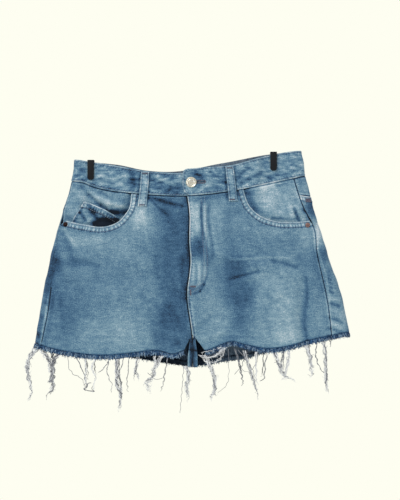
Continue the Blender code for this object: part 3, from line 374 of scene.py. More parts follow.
# Mostly painted shade: the dark opening behind the right pocket's mouth, under the facing's fold
# and under both mouths' edges, and beside the left loop. Ends, width and how much
FACING_SHADES = {
    "right": (
        (-124, -88.5, -106, -91, 3, -1.0), (-112, -91.5, -88, -91, 5.2, -1.3),
        (-84.5, -64, -85.5, -80, 3, -0.5), (-112, -71, -92, -76, 4, -0.2),
        (-140, -76, -126, -88, 2, -0.4), (-192, -98, -160, -104, 4, -0.2),
    ),
    "left": (
        (182, -34, 199, -88, 3.4, -0.9), (199, -88, 209, -106, 3.4, -0.9),
        (102, -58, 116, -86, 8, -0.75), (116, -86, 146, -100, 5, -0.35),
        (146, -101, 184, -102, 2.4, -0.6), (182, -86, 190, -105, 2.6, -0.7),
        (130, -54, 134, -70, 6, 0.15), (172, -62, 170, -90, 8, -0.1),
    ),
}
COIN_FOLDS = (
    (-148, -80.5, -126, -91, 4.2, 1.8), (-126, -91, -106, -103, 4.2, 2.2),
    (-167, -88, -156, -103, 2.8, -1.6), (-159, -87, -152, -106, 3.2, 1.4),
    (-148, -90, -134, -104, 3.4, -2.0), (-134, -104, -110, -108, 4, -2.4),
)
# Painted shade under the coin pocket's lip and in its folds, with pale lines along its sewn edges
COIN_SHADES = (
    (-140, -109, -105, -107, 5.6, -2.4), (-130, -102, -107, -105, 3.2, -1.8),
    (-126, -89, -104, -100, 5, -0.6), (-147, -90, -133, -104, 3.4, -0.6),
    (-149, -81, -108, -101, 3.6, -0.55), (-166, -90, -156, -103, 2.6, -0.5),
    (-150, -76.5, -104, -97, 1.6, 0.2), (-176, -104, -168, -112, 3, -0.3),
    (-151, -82, -141, -89, 3, -0.9), (-181, -108, -163, -79, 1.8, 0.6),
    (-175, -108, -158, -81, 1.6, -0.5),
)
# Beside the fly: the shadow on the front under it, the pale and dark of its own face
FLY_SHADES = {
    "right": (
        (7, -64, 10.2, -88.4, 3.2, -0.95), (10.5, -93.6, 10.5, -138.4, 3.2, -0.95),
        (10.7, -143.6, 12.2, -168.4, 3.2, -0.95), (12.2, -173.6, 10.7, -190.4, 3.2, -0.95),
        (10.2, -195.6, 7.9, -213.4, 3.2, -0.95), (7.6, -218.6, 7.6, -230, 3.2, -0.95),
        (8.5, -235, 17, -300, 3, -0.5), (4, -64, 6, -232, 8, -0.15),
    ),
    "left": (
        (9.5, -66, 13.3, -90, 1.4, 0.4), (13.3, -92, 13.3, -140, 1.4, 0.4),
        (13.4, -142, 15.2, -170, 1.4, 0.4), (15.2, -172, 10.4, -214, 1.4, 0.4),
        (10.3, -216, 10.3, -231, 1.4, 0.4), (10.5, -233, 18, -291, 1.4, 0.4),
        (12.5, -236, 20.5, -295, 1.5, -0.35), (15, -236, 23, -295, 1.6, 0.3),
        (13, -214, 21, -216, 3.5, -0.4), (15, -76, 17, -126, 4, 0.22),
        (24, -80, 26, -128, 4, 0.25), (31, -84, 33, -128, 2, -0.35), (17, -140, 19, -160, 4, -0.3),
        (27, -140, 29, -160, 4, -0.25), (19, -176, 18, -204, 2.4, 0.3),
        (23, -176, 23, -206, 1.8, -0.25), (28, -174, 28, -206, 2.4, 0.35),
        (33, -172, 32, -204, 1.8, -0.2), (37, -110, 37, -200, 2.2, 0.3),
        (41, -130, 41, -196, 1.6, -0.3), (39, -196, 36, -208, 1.8, -0.6),
        (36, -208, 29, -219, 1.8, -0.75), (29, -219, 19, -223, 1.8, -0.7),
        (34, -206, 26, -214, 1.6, -0.5),
    ),
}
# Beside the side seams: the felled edge's pale ridge and the painted shade of its puckers
SIDE_SHADES = {
    "right": ((-215, -224, -229.5, -306, 1.5, 0.6), (-229, -258, -225, -262, 3, -0.6),
              (-236, -286, -231, -292, 3.4, -0.6), (-222, -236, -219, -240, 3, -0.5)),
    "left": ((219.5, -110, 219, -150, 1.5, 0.4), (219, -150, 234, -198, 1.5, 0.4),
             (234, -198, 243.5, -292, 1.5, 0.35), (235, -197, 240, -200, 1.1, -0.8),
             (236.5, -204, 242, -207, 1.1, -0.8), (237.5, -211, 243, -214, 1.1, -0.8),
             (238, -218, 244, -222, 1.3, -0.9)),
}
# The crotch piece: painted shade down its middle, where it is pinched between the legs, and a pale
# edge
CROTCH_SHADES = ((17.5, -300, 17.5, -342, 7, -0.8), (11, -300, 10.5, -342, 1.3, 0.9))
# Painted shade on the cloth's inner face, where the legs part
INNER_SHADES = (
    (24, -300, 24, -340, 17, -2.2), (-100, -324, -10, -336, 12, -2.2),
    (60, -326, 150, -312, 16, -0.5),
)

LOOP_SHADOW = 1.4 * MM
LOOP_SHADOW_SHADE = (2.2, -0.5)  # its width in millimetres and its tone
SPOT_POWER = 1.5  # above 1, a faded spot is even inside and its edge is steeper
RAW_LINE = 0.9  # how much darker the cloth is just above the frayed strip
RAW_LINE_REACH = 1.5 * MM
FOLD_WASH_AND_SHADE = 0.16  # tone per millimetre of crease: partly wear, partly painted light and shade
WANDER = 3 * MM  # how far creases and fades stray from their straight lines
WANDER_LENGTHS = (17 * MM, 41 * MM, 23 * MM)
# The cloth's unevenness: wavelengths in millimetres, how many times longer they are than high
UNEVEN_WAVES = (14, 19, 27, 38, 55)
UNEVEN_FLATNESS = 450
UNEVEN_SEED = 11

# ---------------------------------------------------------------- sewing

FAR = 99.0  # millimetres from a sewn edge where there is none
DOUBLE_LINES = (2.0 * MM, 8.2 * MM)
SINGLE_LINE = 1.9 * MM
DOUBLE_RAISE = 0.5 * MM
DOUBLE_WIDTH = 9.5
PUCKER_LENGTH = 5.4
PUCKER_WANDER = 27.0
PUCKER_LAG = 1.6  # how far the puckers' waves stray, in radians
# Where puckers stand beside an edge, in millimetres, how wide, and their share of the depth
DOUBLE_PUCKER = (5, 3.2, 1)
SINGLE_PUCKER = (2.5, 2.2, 0.4)
RUN_STEP = 8 * MM  # between the points that stand for a sewn edge
CURVE_STEPS = 8
RIM_DROP = 0.4 * MM
INNER_RIM_DROP = 0.2 * MM
# A stitch's way along the seam, its arch out of the cloth in millimetres, and its taper
STITCH = ((0.0, 0.25, 0.75, 1.0), (-0.2, 0.22, 0.22, -0.2), (0.6, 1, 1, 0.6))
# How far a line of stitches stops short of its two ends
MOUTH_STOPS = (3 * MM, 2 * MM)
SEAM_STOPS = (3 * MM, 3 * MM)
BAND_STOPS = (6 * MM, 6 * MM)
TAB_STOPS = (2 * MM, 2 * MM)
PATCH_STOPS = (1 * MM, 1 * MM)
FLY_EDGE_LINE = 1.6 * MM
PATCH_MOUTH_LINE = 12 * MM
SATIN_PITCH = 0.7 * MM
SATIN_TAPER = (1.1, 1.1)
BAR_TACK_OUT = 0.35 * MM
# Bar tacks: place across, height, width and length in millimetres
FLY_TACKS = ((18, -211, 9, 2.6), (14, -221, 2.2, 9))
SIDE_TACK = (204, -72, 9, 6)
LOOP_TACK = (9 * MM, 1.8 * MM)
LOOP_TACK_INSET = 2.5 * MM

# ---------------------------------------------------------------- frayed hem

THREAD_SIDES = 4
STRAND_THREADS = 4  # threads that run together through a lock
STRAND_RADIUS = 0.8 * MM
TWIST_LENGTH = 7 * MM  # of a lock, for one radian of its strands' twist
FRAY_SEED = 7
# Locks of threads that hang from the hem: how many threads, how far apart their roots are, how
# thick the lock is, how much they curl, and the places across and heights they hang through
Lock = namedtuple("Lock", "threads roots body curl route")
FRONT_LOCKS = [Lock(*row) for row in (
    (18, 9, 2.2, 1.6, (-238, -311, -249, -332, -251, -347, -244, -374, -249, -397)),
    (22, 5, 2.8, 2.4, (-227, -315, -214, -332, -211, -353, -210, -374, -217, -390)),
    (20, 5, 2.8, 2.4, (-199, -319, -207, -332, -209, -353, -211, -371)),
    (1, 0, 0, 0.8, (-184, -322, -180, -347, -161, -361, -155, -379)),
    (3, 4, 0.8, 0.8, (-168, -325, -158, -351, -155, -366)),
    (6, 3, 1.2, 1.2, (-155, -326, -155, -356, -154, -379)),
    (7, 3, 1.3, 1.4, (-140, -327, -145, -342, -140, -356, -144, -386)),
    (4, 6, 1.6, 2.4, (-150, -366, -156, -374, -146, -380, -141, -370)),
    (2, 2, 0.6, 1.0, (-117, -327, -120, -348, -113, -369, -115, -384)),
    (2, 2, 0.5, 0.6, (-116, -327, -121, -336, -128, -345, -140, -353)),
    (20, 4, 2.2, 1.6, (-105, -326, -105, -366, -98, -386, -102, -414)),
    (2, 2, 0.5, 0.6, (-93, -326, -99, -346, -102, -360)),
    (2, 3, 0.6, 1.0, (-84, -325, -88, -364, -86, -386)),
    (7, 3, 1.2, 1.4, (-70, -325, -75, -348, -69, -360)),
    (3, 3, 1.2, 1.2, (-70, -325, -75, -348, -77, -369)),
    (18, 7, 2.6, 2.0, (-38, -323, -46, -352, -56, -366, -52, -380)),
    (3, 5, 0.8, 1.0, (-23, -324, -29, -360, -34, -382)),
    (1, 0, 0, 0.5, (-55, -350, -42, -360, -29, -358)),
    (16, 6, 2.4, 2.0, (5, -340, 11, -352, 8, -373, 9, -395)),
    (1, 0, 0, 0.6, (3, -340, 0, -379, -3, -415)),
    (20, 6, 2.4, 1.4, (36, -322, 50, -350, 53, -377, 45, -395)),
    (1, 0, 0, 0.6, (75, -312, 74, -364, 57, -383)),
    (3, 3, 0.8, 1.0, (86, -312, 97, -355, 97, -371)),
    (1, 0, 0, 0.6, (84, -311, 91, -330, 99, -347, 108, -349, 113, -362)),
    (1, 0, 0, 0.6, (105, -316, 99, -330, 96, -340, 84, -352)),
    (1, 0, 0, 0.6, (91, -313, 104, -330, 113, -343, 117, -363)),
    (1, 0, 0, 0.6, (123, -314, 120, -334, 110, -350, 117, -368)),
    (8, 5, 1.4, 1.4, (100, -314, 113, -357, 120, -377, 122, -395)),
    (6, 4, 1.2, 1.6, (120, -316, 119, -350, 121, -368)),
    (3, 3, 0.9, 1.2, (134, -315, 133, -355, 125, -364)),
    (22, 5, 2.8, 1.6, (147, -315, 156, -336, 163, -352, 184, -364)),
    (14, 4, 2.2, 1.4, (173, -311, 169, -343, 161, -362)),
    (2, 2, 0.8, 0.8, (164, -311, 164, -339, 161, -350)),
    (16, 10, 1.8, 1.4, (196, -306, 208, -327, 208, -343, 210, -359)),
    (3, 3, 0.7, 0.8, (215, -303, 217, -329, 231, -355)),
    (10, 3, 1.3, 1.2, (230, -299, 233, -334, 233, -368, 237, -386)),
    (2, 2, 0.5, 0.6, (239, -297, 240, -309)),
    (12, 4, 1.6, 1.6, (69, -309, 56, -321, 40, -326, 22, -320)),
    (8, 3, 1.2, 1.4, (67, -308, 50, -314, 28, -318)),
    (9, 4, 1.4, 1.6, (69, -311, 65, -323, 52, -333, 34, -328)),
)]
BACK_LOCKS = [Lock(*row) for row in (
    (10, 7, 1.8, 1.6, (-238, -309, -248, -330, -250, -350, -246, -372)),
    (12, 5, 2.0, 2.0, (-214, -312, -209, -335, -211, -358, -208, -376)),
    (5, 4, 1.0, 1.2, (-160, -316, -155, -342, -156, -368)),
    (4, 3, 0.8, 1.2, (-140, -318, -143, -345, -141, -370)),
    (10, 5, 1.8, 1.4, (-105, -320, -104, -350, -100, -380, -103, -398)),
    (5, 4, 1.0, 1.4, (-72, -324, -75, -345, -70, -362)),
    (10, 6, 1.8, 1.6, (-38, -331, -47, -352, -54, -372)),
    (8, 5, 1.6, 1.6, (6, -339, 10, -356, 8, -378, 8, -392)),
    (10, 5, 1.8, 1.4, (42, -336, 52, -356, 52, -378, 46, -392)),
    (4, 4, 0.8, 1.2, (88, -324, 96, -350, 97, -368)),
    (6, 5, 1.0, 1.2, (104, -322, 114, -356, 120, -380)),
    (4, 3, 0.8, 1.2, (132, -317, 132, -350, 127, -363)),
    (9, 5, 1.6, 1.2, (165, -312, 163, -340, 162, -356)),
    (6, 6, 1.2, 1.4, (200, -305, 208, -328, 208, -350)),
    (7, 3, 1.2, 1.2, (231, -299, 233, -335, 234, -366, 237, -384)),
)]

# ---------------------------------------------------------------- hardware

Clip = namedtuple("Clip", "name across top bottom")
CLIPS = (
    Clip("hanger_clip_right", -147.4 * MM, -6.6 * MM, -38.9 * MM),
    Clip("hanger_clip_left", 148.2 * MM, 6.6 * MM, -24.0 * MM),
)
CLIP_WIDTH = 10.6 * MM
CLIP_FINGER = 3.0 * MM
CLIP_BRIDGE = 1.5 * MM
CLIP_HALF_DEPTH = 4.6 * MM
CLIP_FLAT = 8 * MM
CLIP_EASE = 22 * MM
CLIP_PRESS_REACH = 80 * MM
CLIP_PRESS_EASE = 72 * MM
CLIP_ROUNDING = 4.2 * MM

Turned = namedtuple("Turned", "name across height")
BUTTON = Turned("waist_button", 15 * MM, -43 * MM)
BUTTON_RADIUS = 8.5 * MM
BUTTON_PROFILE = (
    (0.235, 0.5), (0.80, 0.5), (0.94, 0.75), (1, 1.3), (1, 2.0), (0.97, 2.45), (0.91, 2.7),
    (0.85, 2.62), (0.80, 2.35), (0.76, 2.15), (0.62, 2.1), (0.56, 2.25), (0.50, 2.45),
    (0.42, 2.42), (0.36, 2.28), (0.20, 2.4), (0, 2.48),
)
BUTTONHOLE_END = 36 * MM
BUTTONHOLE_WIDTH = 2.4 * MM
BUTTONHOLE_RISE = 0.6 * MM
EYE_RADIUS = 3 * MM
RIVET_RADIUS = 4 * MM
RIVET_PROFILE = (
    (0, 0), (0.96, 0), (1, 0.25), (0.97, 0.6), (0.86, 0.95), (0.7, 1.05), (0.55, 0.9),
    (0.42, 0.95), (0.26, 1.35), (0.12, 1.55), (0, 1.6),
)
RIVETS = (
    Turned("rivet_right", -188 * MM, -111 * MM),
    Turned("rivet_left", 203 * MM, -112 * MM),
)


# ---------------------------------------------------------------- settings

def linear(hex_colour):
    """An sRGB hex value as a linear colour."""
    parts = [int(hex_colour[i:i + 2], 16) / 255 for i in (1, 3, 5)]
    return (*(p / 12.92 if p <= 0.04045 else ((p + 0.055) / 1.055) ** 2.4 for p in parts), 1.0)


def colour(name, description, hex_colour):
    """A colour that a user can change."""
    return FloatVectorProperty(name=name, description=description, subtype="COLOR", size=4,
                               min=0, max=1, default=linear(hex_colour))


def length(name, description, metres):
    """A size that a user can change."""
    return FloatProperty(name=name, description=description, unit="LENGTH", min=0,
                         default=metres, precision=5)


class ShortsCloth(bpy.types.PropertyGroup):
    """How finely the cloth is ruled and how deep its small forms are."""

    front_ruling: length("Front ruling", "Grid of the front pieces", 1.8 * MM)
    back_ruling: length("Back ruling", "Grid of the back pieces", 2.4 * MM)
    small_ruling: length("Small ruling", "Grid of coin pocket and loops", 1.5 * MM)
    strip_ruling: length("Strip ruling", "Grid of the frayed strips", 1.0 * MM)
    pucker_depth: length("Pucker depth", "Height of the puckers between sewn lines", 0.3 * MM)
    crease_depth: FloatProperty(name="Crease depth", description="Strength of the small creases",
                                default=1.0, min=0, max=2, subtype="FACTOR")
    # Scales the fading together with its painted light and shade
    fade: FloatProperty(name="Fade", description="Contrast of the wash", default=1.0, min=0,
                        max=2, subtype="FACTOR")


class ShortsDyes(bpy.types.PropertyGroup):
    """The denim's colours, from unfaded indigo to worn white."""

    # Also the colour of painted shade: pocket openings, gaps at the crotch and the inner face
    indigo: colour("Indigo", "Unfaded depth of seams and folds", "#0D1B29")
    dark: colour("Dark", "Little faded denim", "#284866")
    blue: colour("Blue", "Denim of the shaded zones", "#3C6180")
    mid: colour("Mid", "The even mid wash", "#5A7E95")
    light: colour("Light", "Faded thighs", "#7A9AAA")
    pale: colour("Pale", "Most faded zones", "#9AB3BD")
    worn: colour("Worn", "Rubbed edges and ridges", "#CDD8DC")
    reverse: colour("Reverse", "Inner face, where the white weft shows", "#8596A4")
    # Painted shade on the inner face, where the legs part
    reverse_shade: colour("Reverse dark", "Soiled parts of the inner face", "#37495C")
    raw: colour("Raw edge", "Unfaded blue of the frayed strip", "#2C5680")
    # Partly the unfaded warp's dark, partly painted shade between the frayed ends
    raw_dark: colour("Raw edge dark", "Depth between the frayed ends", "#16304E")
    raw_pale: colour("Raw edge pale", "White weft ends in the frayed strip", "#9DB6C6")


class ShortsThreads(bpy.types.PropertyGroup):
    """Sewing thread and loose yarn."""

    stitch: length("Stitch", "Length of one stitch on top", 2.6 * MM)
    pitch: length("Pitch", "From one stitch to the next", 3.5 * MM)
    stitch_radius: length("Stitch radius", "Half the sewing thread's thickness", 0.34 * MM)
    yarn_radius: length("Yarn radius", "Half a loose thread's thickness", 0.4 * MM)
    sewing: colour("Sewing", "Topstitching thread", "#8FA3B2")
    sewing_warm: colour("Sewing warm", "Rubbed topstitching thread", "#77798C")
    bar_tack: colour("Bar tack", "Thread of bar tacks and buttonhole", "#4B4350")
    yarn: colour("Yarn", "Loose white weft", "#ECEEEE")
    yarn_dim: colour("Yarn dim", "Shaded loose weft", "#787B83")
    cotton: colour("Cotton", "Pocket bags", "#C9CCC8")


class ShortsHardware(bpy.types.PropertyGroup):
    """Metal and plastic."""

    button: colour("Button", "Pale gold of the button", "#F4F2E4")
    button_warm: colour("Button centre", "Warm centre of the button", "#DDD3B4")
    rivet: colour("Rivet", "Copper of the rivets", "#A3857E")
    # Real tarnish in the copper's specks, and the lighter colour of the painted shaded rivet
    rivet_tarnish_and_shade: colour("Tarnish", "Tarnish on the rivets", "#4E3A36")
    clip: colour("Clip", "Black plastic of the hanger clips", "#03070A")
    clip_edge: FloatProperty(name="Clip edge", description="Rounding of the clips' edges",
                             unit="LENGTH", default=0.7 * MM, min=0, precision=5)


class ShortsStage(bpy.types.PropertyGroup):
    """Ground, light and camera."""

    ground: colour("Ground", "Pale ground and floor", "#FEFEF1")
    room: colour("Room", "Cool light of the room", "#F6F8FF")
    ambient: FloatProperty(name="Ambient", description="Strength of the light from all round",
                           default=0.5, min=0)
    key: FloatProperty(name="Key", description="Power of the softbox at the front", unit="POWER",
                       default=46.0, min=0)
    distance: length("Distance", "From the camera to the shorts", 3.0)


def setting(group):
    """One of the scene's groups of settings."""
    return getattr(bpy.context.scene, group)


# ---------------------------------------------------------------- form of the body

def smooth(at, points):
    """A smooth curve through a table's (place, value) points, read at the places given."""
    place, value = np.array(sorted(points), float).T
    slope = np.gradient(value, place)
    at = np.clip(np.asarray(at, float), place[0], place[-1])
    i = np.clip(np.searchsorted(place, at) - 1, 0, len(place) - 2)
    span = place[i + 1] - place[i]
    t = (at - place[i]) / span
    start = value[i] * (1 + 2 * t) * (1 - t) ** 2 + slope[i] * span * t * (1 - t) ** 2
    end = value[i + 1] * t**2 * (3 - 2 * t) - slope[i + 1] * span * t**2 * (1 - t)
    return start + end


def ease(t):
    """0 before 0, 1 after 1, and a soft step between."""
    t = np.clip(t, 0, 1)
    return t * t * (3 - 2 * t)


def body(column, height):
    """One of the body's measures at a height, in metres."""
    return smooth(np.asarray(height) / MM, [(r.height, getattr(r, column)) for r in BODY]) * MM


def round_line(table, share):
    """The height of a line that runs round the body."""
    if table[-1][0] - table[0][0] == 2:
        share = np.mod(share, 2.0)
    return smooth(share, table) * MM


def down_line(table, height, unit=1.0):
    """The share, or with a unit the place across, of a seam that runs down."""
    return smooth(np.asarray(height) / MM, table) * unit


def front(across, height):
    """The share of a place on the front."""
    left, right = body("left", height), body("right", height)
    return (across - left) / (right - left)


def back(across, height):
    """The share of a place on the back."""
    return 2 - front(across, height)


def across_of(share, height):
    """How far across the body a share lies."""
    lap = np.mod(share, 2.0)
    lap = np.where(lap > 1, 2 - lap, lap)
    left, right = body("left", height), body("right", height)
    return left + lap * (right - left)


def turn_of(share):
    """The turn round the body: 0 at the left fold, pi at the right one."""
    lap = np.mod(share, 2.0)
    behind = lap > 1
    side = 2 * np.where(behind, 2 - lap, lap) - 1
    turn = np.arccos(-np.sign(side) * np.abs(side) ** (FOLD_POWER / 2))
    return np.where(behind, 2 * np.pi - turn, turn)


def near_line(ends, x, z):
    """How far each place lies from a straight line between two places, in metres."""
    x1, z1, x2, z2 = np.array(ends) * MM
    along = np.array((x2 - x1, z2 - z1))
    t = np.clip(((x - x1) * along[0] + (z - z1) * along[1]) / (along @ along), 0, 1)
    return np.hypot(x - x1 - t * along[0], z - z1 - t * along[1])


def past(points, x, z):
    """How far each place lies from a line of (across, height) points in millimetres."""
    pairs = zip(points[:-1], points[1:], strict=True)
    return np.min([near_line((*a, *b), x, z) for a, b in pairs], axis=0)


def lines(table, x, z):
    """What a table of soft straight lines adds at each place, in the table's own unit."""
    total = np.zeros_like(x)
    for *ends, width, amount in table:
        total += amount * np.exp(-((near_line(ends, x, z) / (width * MM)) ** 2))
    return total


def spots(table, x, z):
    """What a table of soft round spots adds at each place."""
    total = np.zeros_like(x)
    for across, height, wide, high, amount in table:
        away = ((x / MM - across) / wide) ** 2 + ((z / MM - height) / high) ** 2
        total += amount * np.exp(-(away**SPOT_POWER))
    return total


def skin(turn, z):
    """The outer face of the hanging cloth at a turn and a height, without its small creases."""
    c, s = np.cos(turn), np.sin(turn)
    left, right, depth, middle = (body(k, z) for k in Level._fields[1:])
    x = (left + right) / 2 - (right - left) / 2 * np.sign(c) * np.abs(c) ** (2 / FOLD_POWER)
    fullness = np.abs(s) ** (2 / FOLD_POWER)
    outward = np.where(s > 0, lines(FRONT_FOLDS, x, z), lines(BACK_FOLDS, x, z)) * MM
    stand = depth / 2 * fullness + outward * fullness**2
    for clip in CLIPS:
        level = ease((z - clip.bottom + CLIP_PRESS_REACH) / CLIP_PRESS_EASE)
        pressed = level * ease(1 - (np.abs(x - clip.across) - CLIP_FLAT) / CLIP_EASE)
        stand = stand + (CLIP_HALF_DEPTH - stand) * pressed
    start = np.where(s > 0, PINCH_START_FRONT, PINCH_START_BACK)
    near = np.clip(1 - np.abs(x - CROTCH_ACROSS * MM) / PINCH_REACH, 0, 1)
    pinched = ease((start - z) / (start - BRIDGE_BOTTOM)) * (1 - np.sqrt(1 - near**2))
    stand = stand + (BRIDGE_HALF_DEPTH - stand) * pinched
    return np.stack([x, middle + np.where(s > 0, -stand, stand), z], axis=-1)


def drape(share, out, z):
    """A point of the cloth in space: round the body, out from its outer face, and its height."""
    turn = turn_of(share)
    place = skin(turn, z)
    along = skin(turn + NEARBY, z) - skin(turn - NEARBY, z)
    down = skin(turn, z - NEARBY) - skin(turn, z + NEARBY)
    normal = np.cross(down, along)
    normal /= np.linalg.norm(normal, axis=-1, keepdims=True)
    return place + normal * np.asarray(out)[..., None]


# The cloth's own measure round the body, from the left fold, at each height and share
LAPS = np.linspace(0, 2, 1601)
LEVELS = np.linspace(-0.36, 0.012, 32)


def measure_round():
    """How far round the body, in metres, every share lies at every level."""
    share, z = np.meshgrid(LAPS, LEVELS)
    place = skin(turn_of(share), z)
    steps = np.linalg.norm(np.diff(place, axis=1), axis=2)
    return np.concatenate([np.zeros((len(LEVELS), 1)), np.cumsum(steps, axis=1)], axis=1)


ROUND = measure_round()


def unroll(share, z):
    """How far round the body a place lies, in metres of cloth."""
    share, z = np.broadcast_arrays(np.asarray(share, float), np.asarray(z, float))
    laps = np.floor(share / 2)
    j = np.clip((share - 2 * laps) / LAPS[1], 0, len(LAPS) - 1.001)
    i = np.clip((z - LEVELS[0]) / (LEVELS[1] - LEVELS[0]), 0, len(LEVELS) - 1.001)
    i0, j0 = i.astype(int), j.astype(int)
    ti, tj = i - i0, j - j0
    low, high = (ROUND[row, j0] * (1 - tj) + ROUND[row, j0 + 1] * tj for row in (i0, i0 + 1))
    whole = ROUND[i0, -1] * (1 - ti) + ROUND[i0 + 1, -1] * ti
    return low * (1 - ti) + high * ti + laps * whole


def roll(place, z):
    """The share of a place that far round the body, found by halving."""
    low = np.full(np.shape(place), -1.0)
    high = np.full(np.shape(place), 4.0)
    for _ in range(HALVINGS):
        middle = (low + high) / 2
        short = unroll(middle, z) < place
        low = np.where(short, middle, low)
        high = np.where(short, high, middle)
    return (low + high) / 2


LAID_LEVEL = -0.16  # pieces lie flat by their length round the body at this height
LAID_SHARES = np.linspace(0, 3, 2401)
LAID_PLACES = unroll(LAID_SHARES, LAID_LEVEL)


def wandered(x, z):
    """A place strayed a little, so that creases and fades aren't straight."""
    one, two, three = WANDER_LENGTHS
    return (x + WANDER * np.sin(z / one + x / two), z + WANDER * np.sin(x / three - z / two))


def creases(share, z):
    """How far the small creases bring the cloth out, in metres."""
    x = across_of(share, z)
    strayed = wandered(x, z)
    behind = np.mod(share, 2.0) > 1
    deep = np.where(behind, lines(BACK_CREASES, *strayed), lines(FRONT_CREASES, *strayed))
    return deep * MM * setting("shorts_cloth").crease_depth


def undulation(share, z):
    """The cloth's own unevenness: low waves of a few wavelengths that cross each other, alike
    in the layers that lie on each other."""
    u = across_of(share, z)
    total = np.zeros_like(u)
    rng = np.random.default_rng(UNEVEN_SEED)
    for wave in UNEVEN_WAVES:
        for _ in range(3):
            angle, phase = rng.uniform(0, np.pi), rng.uniform(0, math.tau)
            along = u * np.cos(angle) + z * np.sin(angle)
            total += wave * np.sin(along * math.tau / (wave * MM) + phase)
    return total * MM / UNEVEN_FLATNESS


def wash(share, z):
    """How light or dark the denim is drawn: its fading, with the painted shadows beside the
    loops and the painted light and shade of the creases. 0 is the even mid tone, 1 worn white
    and -1 unfaded indigo.
    """
    x = across_of(share, z)
    strayed = wandered(x, z)
    behind = np.mod(share, 2.0) > 1
    faded = np.where(
        behind,
        spots(BACK_FADES, *strayed) + lines(BACK_STREAKS, *strayed),
        spots(FRONT_FADES, *strayed) + lines(FRONT_STREAKS, *strayed),
    )
    beside = np.where(behind, lines(loop_shadows(True), x, z), lines(loop_shadows(False), x, z))
    above = (z - round_line(HEM, share)) - FRAY
    raw = -RAW_LINE * np.exp(-((above / RAW_LINE_REACH) ** 2))
    return faded + beside + raw + creases(share, z) / MM * FOLD_WASH_AND_SHADE


def loop_shadows(behind):
    """Painted shadow lines beside the belt loops, on one face."""
    rows = []
    for loop in LOOPS:
        if (1 < loop.share < 2) != behind:
            continue
        top = float(round_line(BAND_TOP, loop.share)) - LOOP_SHADOW
        foot = top - LOOP_LENGTH + 2 * LOOP_SHADOW
        for hand in (-1, 1):
            out = hand * (LOOP_WIDTH / 2 + LOOP_SHADOW)
            ends = [(float(across_of(loop.share, z)) + out, z) for z in (top, foot)]
            rows.append((*(v / MM for end in ends for v in end), *LOOP_SHADOW_SHADE))
    return rows


# ---------------------------------------------------------------- outlines

def crossing(table, share_at, shift=0.0):
    """The share where a line round the body, raised by the shift, crosses a seam."""
    share = float(share_at(HEM_LEVEL / 2))
    for _ in range(8):
        share = float(share_at(round_line(table, share) + shift))
    return share


def along_round(table, start, end, shift, step=4 * MM):
    """Points along a line that runs round the body, from one share to another."""
    reach = abs(float(unroll(end, LAID_LEVEL) - unroll(start, LAID_LEVEL)))
    shares = np.interp(
        np.linspace(unroll(start, LAID_LEVEL), unroll(end, LAID_LEVEL), int(reach / step) + 2),
        LAID_PLACES, LAID_SHARES,
    )
    return [(float(s), float(round_line(table, s)) + shift) for s in shares]


def between(table, first, last, shift):
    """Points along a line that runs round the body, from one seam to another."""
    return along_round(table, crossing(table, first, shift), crossing(table, last, shift), shift)


def along_down(share_at, start, end, step=4 * MM):
    """Points along a seam that runs down or up, from one height to another."""
    heights = np.linspace(start, end, int(abs(end - start) / step) + 2)
    return [(float(share_at(z)), float(z)) for z in heights]


def joined(*runs):
    """One outline from lines laid end to end, without the points that all but repeat."""
    outline = []
    for share, z in (point for run in runs for point in run):
        place = np.interp(share, LAID_SHARES, LAID_PLACES)
        if outline and math.hypot(place - last[0], z - last[1]) < CLOSEST:
            continue
        outline.append((share, z))
        last = place, z
    return outline


def curve(points):
    """Points along a smooth curve through (across, height) points in millimetres."""
    fine = np.linspace(0, len(points) - 1, (len(points) - 1) * CURVE_STEPS + 1)
    x, z = (smooth(fine, list(enumerate(column))) * MM for column in zip(*points, strict=True))
    return [(float(front(a, b)), float(b)) for a, b in zip(x, z, strict=True)]


def half_gap(z):
    """Half a seam's gap, as a share of the body's width."""
    return SEAM_GAP / 2 / (body("right", z) - body("left", z))


def side_seam(side, hand):
    """The share of a side seam at a height, half a gap towards the front or away from it."""
    towards = hand if side == "right" else -hand
    return lambda z: down_line(SIDE_SEAM[side], z) + towards * half_gap(z)


def from_behind(seam):
    """The same seam, with its share counted on round the back."""
    return lambda z: seam(z) + 2


def middle_seam(hand, shift=0.0):
    """The share of the fly's edge and front seam, half a gap to one side."""
    return lambda z: front(down_line(FLY_EDGE, z, MM) + shift, z) + hand * half_gap(z)


def back_seam(hand):
    """The share of the seam down the middle of the back."""
    return lambda z: back(down_line(BACK_SEAM, z, MM), z) + hand * half_gap(z)


def bridge_points(side):
    """The front's crotch piece, from the middle seam's foot up to the notch beside it."""
    out = -1 if side == "right" else 1
    middle = CROTCH_ACROSS * MM
    foot = middle + out * BRIDGE_HALF_WIDTH
    notch = middle + out * NOTCH_HALF_WIDTH
    places = ((foot, BRIDGE_BOTTOM), (foot, BRIDGE_WAIST), (notch, NOTCH_TOP))
    return [(float(front(x, z)), z) for x, z in places]


# ---------------------------------------------------------------- cloth pieces

